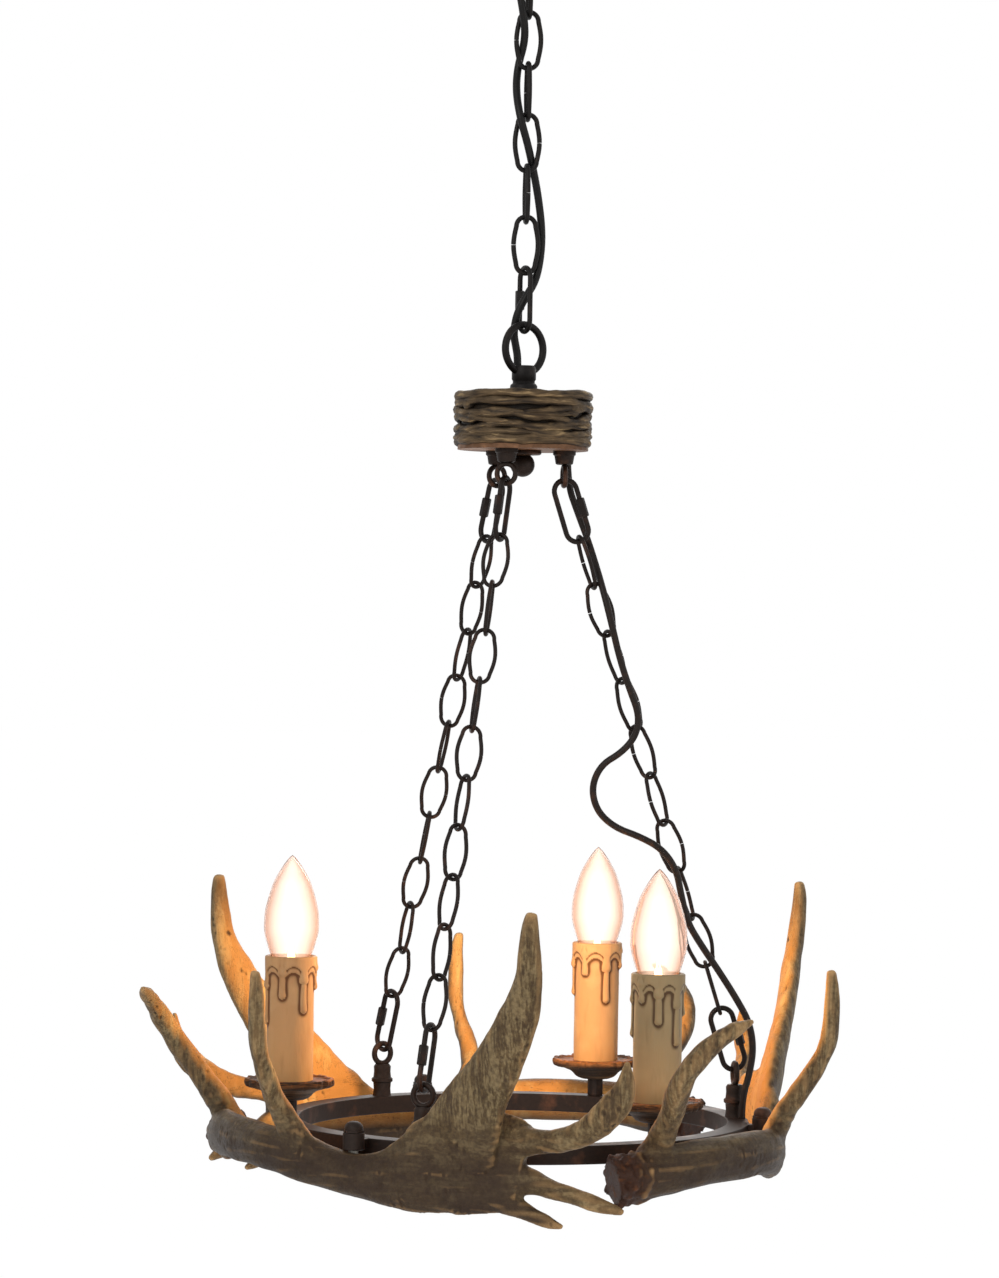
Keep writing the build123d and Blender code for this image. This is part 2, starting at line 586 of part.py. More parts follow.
def chain_piece(solid, number, heading):
    """A copy of one chain piece at its number along the chain, 0 being the upper quick link."""
    if number == 0:
        distance = CHAIN_START + QUICK_INNER / 2
    elif number <= SUSPENSION_LINKS:
        distance = CHAIN_START + QUICK_INNER - LINK_GAP + (number - 1) * (LINK_INNER - LINK_GAP)
        distance += LINK_INNER / 2
    else:
        distance = CHAIN_START + CHAIN_RUN - QUICK_INNER / 2 + LINK_GAP
    share = distance / CHAIN_SPAN
    place = around(heading, HUB_EYE_OFFSET + CHAIN_SPREAD * share, EYE_LOW_Z - CHAIN_FALL * share)
    return hung(solid, place, number * step_turn, chain_lean, heading)


for index, heading in enumerate(THIRDS):
    with BuildPart() as suspension_chain:
        for number in range(1, SUSPENSION_LINKS + 1):
            add(chain_piece(small_link, number, heading))
    save(suspension_chain.part, f"suspension_chain_{index + 1}")

with BuildPart() as chain_quick_links:
    for heading in THIRDS:
        for number in (0, SUSPENSION_LINKS + 1):
            add(chain_piece(quick_link, number, heading))
save(chain_quick_links.part, "chain_quick_links")

with BuildPart() as quick_link_nuts:
    for heading in THIRDS:
        for number in (0, SUSPENSION_LINKS + 1):
            add(chain_piece(quick_nut, number, heading))
save(quick_link_nuts.part, "quick_link_nuts")

# ---- ring: a steel channel open below, with three lugs that carry the antlers ----
with BuildPart() as ring_frame:
    with BuildSketch(Plane.XY.offset(RING_BOTTOM)):
        RegularPolygon(RING_RADIUS + RING_WIDTH / 2, RING_FLATS)
        RegularPolygon(RING_RADIUS - RING_WIDTH / 2, RING_FLATS, mode=Mode.SUBTRACT)
    extrude(amount=RING_HEIGHT)
    with BuildSketch(Plane.XY.offset(RING_TOP + BOSS_RISE)):
        with PolarLocations(BOLT_OFFSET, 3, start_angle=BOLT_ANGLE):
            RegularPolygon(BOSS_RADIUS, ROUND)
    extrude(amount=-BOSS_HEIGHT)
    with BuildSketch(Plane.XY.offset(RING_TOP)):
        with PolarLocations(BOLT_OFFSET - 6.0, 3, start_angle=BOLT_ANGLE):
            Rectangle(12.0, LUG_WIDTH)
    extrude(amount=BOSS_RISE - BOSS_HEIGHT)
    with BuildSketch(Plane.XY.offset(RING_BOTTOM)):
        RegularPolygon(RING_RADIUS + RING_WIDTH / 2 - RING_WALL, RING_FLATS)
        RegularPolygon(RING_RADIUS - RING_WIDTH / 2 + RING_WALL, RING_FLATS, mode=Mode.SUBTRACT)
    extrude(amount=RING_HEIGHT - RING_WALL, mode=Mode.SUBTRACT)
    with BuildSketch(Plane.XY.offset(RING_TOP + BOSS_RISE)):
        with PolarLocations(BOLT_OFFSET, 3, start_angle=BOLT_ANGLE):
            RegularPolygon(STUD_RADIUS + FIT, THREAD)
        with PolarLocations(RING_RADIUS, 3, start_angle=CANDLE_ANGLE):
            RegularPolygon(ROD_RADIUS + FIT, THREAD)
        with PolarLocations(RING_RADIUS, 3):
            RegularPolygon(STUD_RADIUS + FIT, THREAD)
    extrude(amount=-BOSS_HEIGHT, mode=Mode.SUBTRACT)
save(ring_frame.part, "ring_frame")

# ---- eye posts on the ring ----
with BuildPart(mode=Mode.PRIVATE) as eye_post:
    foot = (POST_HEIGHT - POST_FLANGE_HEIGHT) / 2
    add(tube(STUD_RADIUS, 0, -RING_WALL - NUT_HEIGHT - 1.0, 0, THREAD))
    add(tube(POST_RADIUS, 0, 0, foot))
    add(tube(POST_FLANGE_RADIUS, 0, foot, foot + POST_FLANGE_HEIGHT))
    add(tube(POST_RADIUS - 0.2, 0, foot + POST_FLANGE_HEIGHT, POST_HEIGHT))
    add(eye_solid(RING_EYE_RADIUS, RING_EYE_WIRE).rotate(Axis.Z, 90).translate((0, 0, RING_EYE_RISE)))
with BuildPart() as ring_eye_posts:
    for angle in THIRDS:
        add(eye_post.part.translate((RING_RADIUS, 0, RING_TOP)).rotate(Axis.Z, angle))
save(ring_eye_posts.part, "ring_eye_posts")

with BuildPart() as ring_nuts:
    with BuildSketch(Plane.XY.offset(RING_TOP - RING_WALL)):
        with PolarLocations(RING_RADIUS, 3):
            RegularPolygon(RING_WIDTH / 2 - RING_WALL - 0.3, 6)
            RegularPolygon(STUD_RADIUS + FIT, THREAD, mode=Mode.SUBTRACT)
        with PolarLocations(RING_RADIUS, 3, start_angle=CANDLE_ANGLE):
            RegularPolygon(RING_WIDTH / 2 - RING_WALL - 0.25, THREAD)
            RegularPolygon(ROD_RADIUS + FIT / 2, THREAD, mode=Mode.SUBTRACT)
    extrude(amount=-NUT_HEIGHT)
save(ring_nuts.part, "ring_nuts")

# ---- candle parts, each made once about the ring top and repeated ----
SEAT = GLASS_Z - RING_TOP
HOLDER_FOOT = SEAT - HOLDER_HEIGHT - 1.0
DISH_LIP = STEM_HEIGHT + DISH_HEIGHT
SLEEVE_FOOT = SLEEVE_Z - RING_TOP
with BuildPart(mode=Mode.PRIVATE) as rod:
    add(tube(ROD_RADIUS, ROD_BORE, -RING_WALL - NUT_HEIGHT, HOLDER_FOOT + 10.0, THREAD))

with BuildPart(mode=Mode.PRIVATE) as stem:
    add(tube(STEM_RADIUS, ROD_RADIUS + FIT, 0, STEM_HEIGHT, THREAD))

with BuildPart(mode=Mode.PRIVATE) as dish:
    floor = DISH_LIP - DISH_FLOOR
    add(turned([
        (ROD_RADIUS + FIT, STEM_HEIGHT), (9.5, STEM_HEIGHT), (16.5, STEM_HEIGHT + 5.0),
        (24.5, DISH_LIP - DISH_RIM), (DISH_RADIUS, DISH_LIP - DISH_RIM + 0.6), (DISH_RADIUS, DISH_LIP),
        (DISH_RADIUS - 3.0, DISH_LIP), (DISH_RADIUS - 3.6, floor), (ROD_RADIUS + FIT, floor),
    ], 28))

with BuildPart(mode=Mode.PRIVATE) as sleeve:
    add(tube(SLEEVE_RADIUS, 0, SLEEVE_FOOT, SLEEVE_FOOT + SLEEVE_HEIGHT, 24))
    add(tube(SLEEVE_RADIUS + DRIP_DEPTH, 0, SLEEVE_FOOT + SLEEVE_HEIGHT - 7.0, SLEEVE_FOOT + SLEEVE_HEIGHT, 24))
    for angle, length in DRIPS:
        with BuildSketch(Plane.XY.offset(SLEEVE_FOOT + SLEEVE_HEIGHT - length)):
            with Locations(around(angle, SLEEVE_RADIUS - 0.6, 0)):
                RegularPolygon(2.0, 6)
        extrude(amount=length - 6.0)
    with BuildSketch(Plane.XY.offset(SLEEVE_FOOT)):
        RegularPolygon(SLEEVE_BORE, 24)
    extrude(amount=SLEEVE_HEIGHT, mode=Mode.SUBTRACT)

with BuildPart(mode=Mode.PRIVATE) as holder:
    add(tube(8.5, ROD_RADIUS + FIT, HOLDER_FOOT, HOLDER_FOOT + 6.0))
    add(tube(HOLDER_RADIUS, ROD_RADIUS + FIT, HOLDER_FOOT + 6.0, HOLDER_FOOT + HOLDER_BASE - 1.5))
    add(tube(HOLDER_RADIUS, HOLDER_BORE, HOLDER_FOOT + HOLDER_BASE - 1.5, HOLDER_FOOT + HOLDER_HEIGHT))

with BuildPart(mode=Mode.PRIVATE) as cap:
    add(tube(3.0, 0, SEAT - CAP_HEIGHT, SEAT - CAP_HEIGHT + 4.0, THREAD))
    add(tube(CAP_RADIUS, 0, SEAT - CAP_HEIGHT + 4.0, SEAT))

with BuildPart(mode=Mode.PRIVATE) as glass:
    outline = [(radius, SEAT + rise * BULB_HEIGHT) for radius, rise in BULB_CURVE]
    for radius, rise in reversed(BULB_CURVE):
        outline.append((max(radius - BULB_WALL, 0), SEAT + rise * (BULB_HEIGHT - BULB_WALL)))
    add(turned(outline, BULB_FLATS))

with BuildPart(mode=Mode.PRIVATE) as filament:
    add(turned([(0, SEAT), (4.5, SEAT), (2.0, SEAT + 18.0), (0, SEAT + 18.0)], 8))
    with BuildSketch(Plane.XY.offset(SEAT + 17.0)):
        with Locations((1.2, 0), (-1.2, 0)):
            Rectangle(0.7, 0.7)
    extrude(amount=20.0)
    with BuildSketch(Plane.XY.offset(SEAT + 36.0)):
        Rectangle(6.0, 1.0)
    extrude(amount=1.0)


def at_candles(solid):
    """The three places of a candle part on the ring."""
    return [
        solid.translate((RING_RADIUS, 0, RING_TOP)).rotate(Axis.Z, CANDLE_ANGLE + angle) for angle in THIRDS
    ]


for name, piece in (("candle_rods", rod), ("candle_stems", stem), ("bulb_filaments", filament)):
    with BuildPart() as group:
        for copy in at_candles(piece.part):
            add(copy)
    save(group.part, name)

for name, piece in (
    ("drip_dish", dish), ("candle_sleeve", sleeve), ("lamp_holder", holder), ("bulb_cap", cap),
    ("bulb_glass", glass),
):
    for index, copy in enumerate(at_candles(piece.part)):
        save(copy, f"{name}_{index + 1}")


# ---- antlers ----
def limb_planes(stations, lean):
    """Section planes along a limb, square to its run, with X across the blade."""
    points = [
        around(BOLT_ANGLE + angle, RING_RADIUS + reach, RING_TOP + rise) for angle, reach, rise, _, _ in stations
    ]
    planes = []
    for number, point in enumerate(points):
        before = points[max(number - 1, 0)]
        after = points[min(number + 1, len(points) - 1)]
        run = (after - before).normalized()
        facing = around(BOLT_ANGLE + stations[number][0] - lean, 1, 0)
        planes.append(Plane(point, x_dir=run.cross(facing), z_dir=run))
    return planes


def limb(stations, lean, sides):
    """One tine or beam: oval sections joined by flat facets, its tip closed."""
    rings = []
    for plane, (_, _, _, broad, thick) in zip(limb_planes(stations, lean), stations):
        grow = 0.5 / cos(pi / sides) ** 0.5
        turns = [2 * pi * (number + 0.5) / sides for number in range(sides)]
        rings.append([
            plane.from_local_coords((broad * grow * cos(turn), thick * grow * sin(turn), 0)) for turn in turns
        ])
    return skin(rings)


with BuildPart() as antler:
    for stations, lean, sides in LIMBS:
        add(limb(stations, lean, sides))
    with BuildSketch(Plane.XY.offset(RING_TOP + BOSS_RISE)):
        with Locations(around(BOLT_ANGLE, BOLT_OFFSET, 0)):
            RegularPolygon(BOSS_RADIUS + 2.0, ROUND)
    extrude(amount=-BOSS_HEIGHT, mode=Mode.SUBTRACT)
    with BuildSketch(Plane.XY.offset(RING_TOP + BOSS_RISE)):
        with Locations(around(BOLT_ANGLE, BOLT_OFFSET, 0)):
            RegularPolygon(STUD_RADIUS + 2 * FIT, THREAD)
    extrude(amount=-BOSS_HEIGHT - STUD_DEPTH, mode=Mode.SUBTRACT)
for index, angle in enumerate(THIRDS):
    save(antler.part.rotate(Axis.Z, angle), f"antler_{index + 1}")

with BuildPart(mode=Mode.PRIVATE) as antler_stud:
    add(tube(STUD_RADIUS, 0, BOSS_RISE - BOSS_HEIGHT - STUD_DEPTH + FIT, BOSS_RISE + 3.5, THREAD))
with BuildPart(mode=Mode.PRIVATE) as acorn:
    add(tube(ACORN_FLANGE, STUD_RADIUS + FIT, 0, 1.4))
    add(tube(ACORN_RADIUS, STUD_RADIUS + FIT, 1.4, 3.6))
    add(turned([
        (0, 3.6), (ACORN_RADIUS, 3.6), (ACORN_RADIUS * 0.8, 5.2), (ACORN_RADIUS * 0.45, 6.5), (0, 7.0),
    ], ROUND))
at_bolts = Vector(BOLT_OFFSET, 0, RING_TOP)
with BuildPart() as antler_studs:
    for angle in THIRDS:
        add(antler_stud.part.translate(at_bolts).rotate(Axis.Z, BOLT_ANGLE + angle))
save(antler_studs.part, "antler_studs")
with BuildPart() as acorn_nuts:
    for angle in THIRDS:
        add(acorn.part.translate(at_bolts + Vector(0, 0, BOSS_RISE)).rotate(Axis.Z, BOLT_ANGLE + angle))
save(acorn_nuts.part, "acorn_nuts")

# ---- cords: routes of straight runs joined by round bends ----
def cord_solid(points, diameter):
    """A cord through corner points, each bend as wide as the runs beside it allow."""
    corners = [Vector(*point) for point in points]
    bends = []
    for before, corner, after in zip(corners, corners[1:], corners[2:]):
        turn = radians((corner - before).get_angle(after - corner))
        bends.append(0.45 * min((corner - before).length, (after - corner).length) / tan(turn / 2))
    with BuildPart(mode=Mode.PRIVATE) as cord:
        with BuildLine() as route:
            FilletPolyline(*corners, radius=bends)
        with BuildSketch(Plane(corners[0], z_dir=corners[1] - corners[0])):
            RegularPolygon(diameter / 2, CORD_FLATS)
        sweep()
    length = sum(edge.length for edge in route.edges())
    section = CORD_FLATS / 2 * (diameter / 2) ** 2 * sin(2 * pi / CORD_FLATS)
    print("cord bends", [round(bend, 1) for bend in bends])
    print("cord length", round(length, 1), "volume", round(cord.part.volume), "of", round(section * length))
    return cord.part


save(cord_solid(TOP_ROUTE, TOP_CORD), "top_cord")
save(cord_solid(LOWER_ROUTE, LOWER_CORD), "lower_cord")
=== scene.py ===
from math import atan2, cos, exp, hypot, pi, radians, sin

import bmesh
import bpy
import numpy as np
from mathutils import Matrix, Vector, noise


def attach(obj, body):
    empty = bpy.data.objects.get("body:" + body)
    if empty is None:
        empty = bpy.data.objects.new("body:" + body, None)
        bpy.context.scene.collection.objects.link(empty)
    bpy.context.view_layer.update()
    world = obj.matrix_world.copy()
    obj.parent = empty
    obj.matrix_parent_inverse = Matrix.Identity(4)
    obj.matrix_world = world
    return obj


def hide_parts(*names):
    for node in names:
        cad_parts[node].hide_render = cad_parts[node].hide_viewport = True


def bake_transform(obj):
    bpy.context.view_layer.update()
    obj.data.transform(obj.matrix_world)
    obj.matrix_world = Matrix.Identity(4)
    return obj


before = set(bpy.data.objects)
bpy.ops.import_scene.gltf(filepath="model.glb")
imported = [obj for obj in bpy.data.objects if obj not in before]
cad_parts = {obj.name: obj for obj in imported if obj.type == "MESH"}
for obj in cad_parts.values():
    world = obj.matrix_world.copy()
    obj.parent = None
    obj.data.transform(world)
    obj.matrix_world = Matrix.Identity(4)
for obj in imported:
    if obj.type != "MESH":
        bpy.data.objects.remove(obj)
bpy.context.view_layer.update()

# ---- Ceiling canopy ----
# A spun steel dome with a rolled rim, painted near black, that hides the bracket and wiring.
# It is held against the ceiling by the nut on the threaded tube in its middle.
MM = 0.001
CANOPY_RADIUS = 52.0
CANOPY_DEPTH = 27.0
CANOPY_RIM = 5.0
CANOPY_WALL = 1.2
TUBE_HOLE = 5.2


def srgb(red, green, blue):
    """A colour read off in 0-255 steps, as linear light."""
    line = [((c / 255 + 0.055) / 1.055) ** 2.4 if c > 10 else c / 3295 for c in (red, green, blue)]
    return (*line, 1.0)


def feed(target, inputs):
    """Gives a node its inputs: plain values, or sockets of other nodes."""
    for key, value in inputs.items():
        if isinstance(value, bpy.types.NodeSocket):
            target.id_data.links.new(value, target.inputs[key])
        else:
            target.inputs[key].default_value = value
    return target


def node(tree, kind, inputs=None, **settings):
    """Adds a node with its settings and inputs."""
    made = tree.nodes.new(kind)
    for key, value in settings.items():
        setattr(made, key, value)
    return feed(made, inputs or {})


def outlet(tree, kind, inputs=None, **settings):
    """Adds a node, and gives its first output."""
    return node(tree, kind, inputs, **settings).outputs[0]


def tree_of(values):
    """The tree of the first socket among values."""
    return next(value.id_data for value in values if isinstance(value, bpy.types.NodeSocket))


def calc(operation, *values):
    """One step of arithmetic."""
    return outlet(tree_of(values), "ShaderNodeMath", dict(enumerate(values)), operation=operation)


def mix(share, first, second):
    """One colour laid over another."""
    sockets = {0: share, 6: first, 7: second}
    return node(tree_of(sockets.values()), "ShaderNodeMix", sockets, data_type="RGBA").outputs[2]


def ramp(source, low, high, start=0.0, end=1.0):
    """A value stretched from one span to another, held at both ends."""
    sockets = {"Value": source, "From Min": low, "From Max": high, "To Min": start, "To Max": end}
    return outlet(source.id_data, "ShaderNodeMapRange", sockets)


def grained(place, scale, detail, rough=0.5):
    """Fractal noise over a place."""
    sockets = {"Vector": place, "Scale": scale, "Detail": detail, "Roughness": rough}
    return node(place.id_data, "ShaderNodeTexNoise", sockets).outputs["Fac"]


def new_group(name, kind, sockets_in, sockets_out):
    """A node group with named sockets: the group, what it is given and what it puts out."""
    group = bpy.data.node_groups.new(name, kind)
    for way, sockets in (("INPUT", sockets_in), ("OUTPUT", sockets_out)):
        for label, socket in sockets:
            group.interface.new_socket(label, in_out=way, socket_type=f"NodeSocket{socket}")
    return group, group.nodes.new("NodeGroupInput").outputs, group.nodes.new("NodeGroupOutput").inputs


# Mottling that every finish shares: coarse clouds, broken by fine specks, with a height to match.
mottle, given, out = new_group(
    "mottle", "ShaderNodeTree",
    (("Scale", "Float"), ("Stretch", "Vector"), ("Coverage", "Float"), ("Edge", "Float")),
    (("Mask", "Float"), ("Specks", "Float"), ("Height", "Float")),
)
place = node(mottle, "ShaderNodeTexCoord").outputs["Object"]
place = outlet(mottle, "ShaderNodeVectorMath", {0: place, 1: given["Stretch"]}, operation="MULTIPLY")
clouds = grained(place, given["Scale"], 5.0)
specks = grained(place, calc("MULTIPLY", given["Scale"], 7.0), 3.0)
low = ramp(calc("SUBTRACT", 1.0, given["Coverage"]), 0.0, 1.0, 0.3, 0.7)
high = calc("ADD", low, given["Edge"])
mottle.links.new(ramp(clouds, low, high), out["Mask"])
mottle.links.new(ramp(specks, 0.42, 0.62), out["Specks"])
mottle.links.new(calc("ADD", clouds, specks), out["Height"])


def mottled(tree, scale, coverage, edge=0.12, stretch=(1, 1, 1)):
    """The shared mottling, placed in a material."""
    sockets = {"Scale": scale, "Coverage": coverage, "Edge": edge, "Stretch": stretch}
    return node(tree, "ShaderNodeGroup", sockets, node_tree=mottle).outputs


def new_finish(name, roughness, metallic=0.0):
    """An empty material: its tree and its Principled shader."""
    made = bpy.data.materials.new(name)
    made.use_nodes = True
    shader = feed(made.node_tree.nodes["Principled BSDF"], {
        "Roughness": roughness, "Metallic": metallic, "Specular IOR Level": 0.3 if metallic else 0.18})
    return made, made.node_tree, shader


def bumped(shader, height, depth, strength=0.5):
    """Relief from a height, in metres."""
    sockets = {"Height": height, "Distance": depth, "Strength": strength}
    feed(shader, {"Normal": outlet(shader.id_data, "ShaderNodeBump", sockets)})


def layered(tone, *layers):
    """A tone under others, each of them a share and a colour."""
    for share, colour in layers:
        tone = mix(share, tone, colour)
    return tone


def metal_finish(name, ground, worn, rough, scale=55.0, coverage=0.45, metallic=0.75):
    """Patinated metal: a ground tone, rubbed patches and small pits."""
    made, tree, shader = new_finish(name, rough, metallic)
    spots = mottled(tree, scale, coverage, 0.3)
    pits = calc("MULTIPLY", spots["Specks"], 0.35), (*(c * 0.35 for c in ground[:3]), 1.0)
    feed(shader, {"Base Color": layered(ground, (spots["Mask"], worn), pits),
                  "Roughness": ramp(spots["Mask"], 0, 1, rough + 0.14, rough - 0.06)})
    bumped(shader, spots["Height"], 0.0003, 0.35)
    return made


def turned(outline, sides=56):
    """A closed outline of (radius, height), turned about +Z: its points and faces."""
    points, rings = [], []
    for radius, height in outline:
        if radius < 1e-6:
            rings.append([len(points)] * sides)
            points.append((0.0, 0.0, height))
            continue
        rings.append([len(points) + k for k in range(sides)])
        points += [(radius * cos(2 * pi * k / sides), radius * sin(2 * pi * k / sides), height)
                   for k in range(sides)]
    faces = []
    for upper, lower in zip(rings, rings[1:] + rings[:1]):
        for k in range(sides):
            face = [upper[k], upper[(k + 1) % sides], lower[(k + 1) % sides], lower[k]]
            face = list(dict.fromkeys(face))
            if len(face) > 2:
                faces.append(face)
    return points, faces


def placed(name, data):
    """A new object in the scene."""
    made = bpy.data.objects.new(name, data)
    bpy.context.scene.collection.objects.link(made)
    return made


def shell(name, shapes, scale=MM, finish=None, crease=38.0):
    """One mesh from shapes of points and faces, faced outward."""
    bm = bmesh.new()
    for points, faces in shapes:
        made = [bm.verts.new(Vector(p) * scale) for p in points]
        for face in faces:
            bm.faces.new([made[k] for k in face])
    bmesh.ops.recalc_face_normals(bm, faces=bm.faces)
    mesh = bpy.data.meshes.new(name)
    bm.to_mesh(mesh)
    bm.free()
    if finish:
        mesh.materials.append(finish)
        mesh.shade_smooth()
        mesh.set_sharp_from_angle(angle=radians(crease))
    return mesh


def make(name, shapes, finish, body, nodes=(), crease=38.0, bevel=0.0):
    """One piece from shapes in mm, riding on a body and standing for its CAD nodes."""
    obj = placed(name, shell(name, shapes, MM, finish, crease))
    if bevel:
        edge = obj.modifiers.new("soft_edges", "BEVEL")
        edge.width = bevel * MM
        edge.segments = 3
        edge.limit_method = "ANGLE"
        edge.angle_limit = radians(crease)
        edge.harden_normals = True
    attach(obj, body)
    if nodes:
        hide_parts(*nodes)
    return obj


black_iron = metal_finish(
    "blackened_iron", srgb(20, 17, 16), srgb(44, 35, 29), 0.4, scale=70.0, coverage=0.3, metallic=0.5
)
quarter = [radians(a) for a in range(0, 91, 9)]
drop = CANOPY_DEPTH - CANOPY_RIM
outside = [(CANOPY_RADIUS - drop * (1 - cos(a)), -CANOPY_RIM - drop * sin(a)) for a in quarter]
inside = [(r - CANOPY_WALL * cos(a), z + CANOPY_WALL * sin(a)) for (r, z), a in zip(outside, quarter)]
canopy_line = [(CANOPY_RADIUS, 0.0), *outside, (TUBE_HOLE, -CANOPY_DEPTH)]
canopy_line += [(TUBE_HOLE, -CANOPY_DEPTH + CANOPY_WALL), *reversed(inside)]
canopy_line += [(CANOPY_RADIUS - CANOPY_WALL, 0.0)]
make("canopy_dome", [turned(canopy_line, 96)], black_iron, "ceiling", ["ceiling_canopy"], bevel=0.4)

# ---- Bracket, threaded tube and terminal block above the canopy ----
# Pressed steel strip, bright zinc plated, screwed to the ceiling box. The solids are right as
# they are, and only take their finishes here.
zinc = metal_finish("zinc_plate", srgb(150, 148, 140), srgb(186, 184, 176), 0.38, 90.0, 0.5, 0.85)


def speckled(name, rough, scale, edge, first, second, strength=0.5):
    """A plain finish: two tones finely mottled, rough between two values."""
    made, tree, shader = new_finish(name, rough[0])
    spots = mottled(tree, scale, 0.4, edge)
    feed(shader, {"Base Color": mix(spots["Mask"], first, second)})
    if len(rough) > 1:
        feed(shader, {"Roughness": ramp(spots["Specks"], 0, 1, *rough)})
    bumped(shader, spots["Height"], 0.0002, strength)
    return made


def refinish(names, finish):
    """Gives CAD nodes their material."""
    for name in names:
        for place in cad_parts[name].material_slots:
            place.material = finish


refinish(["ceiling_bracket", "mounting_nipple", "mounting_nuts", "hub_eye_nuts", "ring_nuts"], zinc)
ceramic = speckled("terminal_ceramic", (0.5,), 140.0, 0.12, srgb(214, 208, 194), srgb(190, 182, 165))
refinish(["terminal_block", "hub_connector"], ceramic)
refinish(["canopy_cord_bush"], black_iron)

# ---- Loop under the canopy ----
# A cast ring on a short turned collar, painted near black, that screws on the end of the threaded
# tube. The first chain link hangs in it.
LOOP_Z = -47.2


def moved(shape, place):
    """A shape's points carried to their place."""
    points, faces = shape
    return [tuple(place @ Vector(p)) for p in points], faces


def at(x, y, z, turn=0.0):
    """A place in mm and a turn about +Z in degrees."""
    return Matrix.Translation((x, y, z)) @ Matrix.Rotation(radians(turn), 4, "Z")


def eye(radius, wire, turns=56, sides=16):
    """A closed wire ring about the origin, standing in the XZ plane."""
    line = [(radius + wire / 2 * cos(2 * pi * k / sides), wire / 2 * sin(2 * pi * k / sides))
            for k in range(sides)]
    return moved(turned(line, turns), Matrix.Rotation(pi / 2, 4, "X"))


loop_collar = [
    (0, -27), (7.6, -27), (8, -27.5), (8, -30.5), (7.2, -31.3), (7.2, -32.2), (8, -33), (8, -36.6),
    (7.4, -37.8), (5.2, -39.2), (3.6, -41.0), (0, -41.0),
]
make(
    "canopy_ring", [turned(loop_collar, 48), moved(eye(11.0, 4.0), at(0, 0, LOOP_Z))],
    black_iron, "ceiling", ["canopy_loop"],
)

# ---- Top chain ----
# Six oval links bent from 3.2 mm steel wire, closed by a butted split in one side. Each hangs in the
# one above and is turned a quarter from it, so each is a body of its own.
LINK_TOP = -55.9
LINK_PITCH = 32.8
LINK_LENGTH = 33.1
TOP_LINK = (LINK_LENGTH, 19.0, 3.2, 6.2, 0.4)


def link_line(inner, width, wire, bend, split):
    """Centre line of one link in the XZ plane, from one side of its split round to the other."""
    side = (width - wire) / 2
    reach = (inner + wire) / 2 - bend

    def flank(heights, sign):
        return [(sign * (bend + (side - bend) * cos(pi * z / (2 * reach))), z) for z in heights]

    arc = [radians(a) for a in range(12, 170, 12)]
    line = flank(np.linspace(split / 2, reach, 8), 1)
    line += [(bend * cos(a), reach + bend * sin(a)) for a in arc]
    line += flank(np.linspace(reach, -reach, 15), -1)
    line += [(-bend * cos(a), -reach - bend * sin(a)) for a in arc]
    line += flank(np.linspace(-reach, -split / 2, 8), 1)
    return line


def new_grower(name, *sockets):
    """A Geometry Nodes group that ends in one geometry with its finish."""
    shape = ("Geometry", "Geometry")
    return new_group(name, "GeometryNodeTree", (shape, *sockets, ("Finish", "Material")), (shape,))


def end_grower(grown, finish, out):
    """Makes real what a tree has grown, and gives it its finish."""
    tree = grown.id_data
    plain = outlet(tree, "GeometryNodeRealizeInstances", {0: grown})
    tree.links.new(outlet(tree, "GeometryNodeSetMaterial", {"Geometry": plain, "Material": finish}), out[0])


def xyz(**parts):
    """A vector from its parts."""
    return outlet(tree_of(parts.values()), "ShaderNodeCombineXYZ", parts)


def about_z(angle):
    """A turn about the upright."""
    return outlet(angle.id_data, "FunctionNodeEulerToRotation", {0: xyz(Z=angle)})


links, given, out = new_grower(
    "row_of_links", ("Wire", "Float"), ("Count", "Int"), ("Pitch", "Float"), ("First Turn", "Float"),
    ("Step Turn", "Float"),
)
half_wire = calc("MULTIPLY", given["Wire"], 0.5)
section = outlet(links, "GeometryNodeCurvePrimitiveCircle", {"Resolution": 14, "Radius": half_wire})
bent = outlet(links, "GeometryNodeCurveToMesh", {
    "Curve": given["Geometry"], "Profile Curve": section, "Fill Caps": True})
down = xyz(Z=calc("MULTIPLY", given["Pitch"], -1.0))
row = outlet(links, "GeometryNodeMeshLine", {"Count": given["Count"], "Offset": down})
order = outlet(links, "GeometryNodeInputIndex")
turn = about_z(calc("MULTIPLY_ADD", order, given["Step Turn"], given["First Turn"]))
hung = outlet(links, "GeometryNodeInstanceOnPoints", {"Points": row, "Instance": bent, "Rotation": turn})
end_grower(hung, given["Finish"], out)


def meshed(source):
    """A plain mesh of an object as its modifiers leave it."""
    bpy.context.view_layer.update()
    view = bpy.context.evaluated_depsgraph_get()
    return bpy.data.meshes.new_from_object(source.evaluated_get(view), depsgraph=view)


def baked(source, name, tree, values):
    """What a Geometry Nodes tree makes of an object, as a plain mesh in its place."""
    grown = source.modifiers.new("grow", "NODES")
    grown.node_group = tree
    for item in tree.interface.items_tree:
        if item.in_out == "INPUT" and item.name in values:
            grown[item.identifier] = values[item.name]
    mesh = meshed(source)
    mesh.name = name
    mesh.shade_smooth()
    mesh.set_sharp_from_angle(angle=radians(50))
    old = source.data
    bpy.data.objects.remove(source)
    if isinstance(old, bpy.types.Curve):
        bpy.data.curves.remove(old)
    return placed(name, mesh)


def drawn(name, kind, places):
    """A curve of one spline through places in mm: the curve and its spline."""
    curve = bpy.data.curves.new(name, "CURVE")
    curve.dimensions = "3D"
    spline = curve.splines.new(kind)
    spline.points.add(len(places) - 1)
    for point, (x, y, z) in zip(spline.points, places):
        point.co = (x * MM, y * MM, z * MM, 1)
    return curve, spline


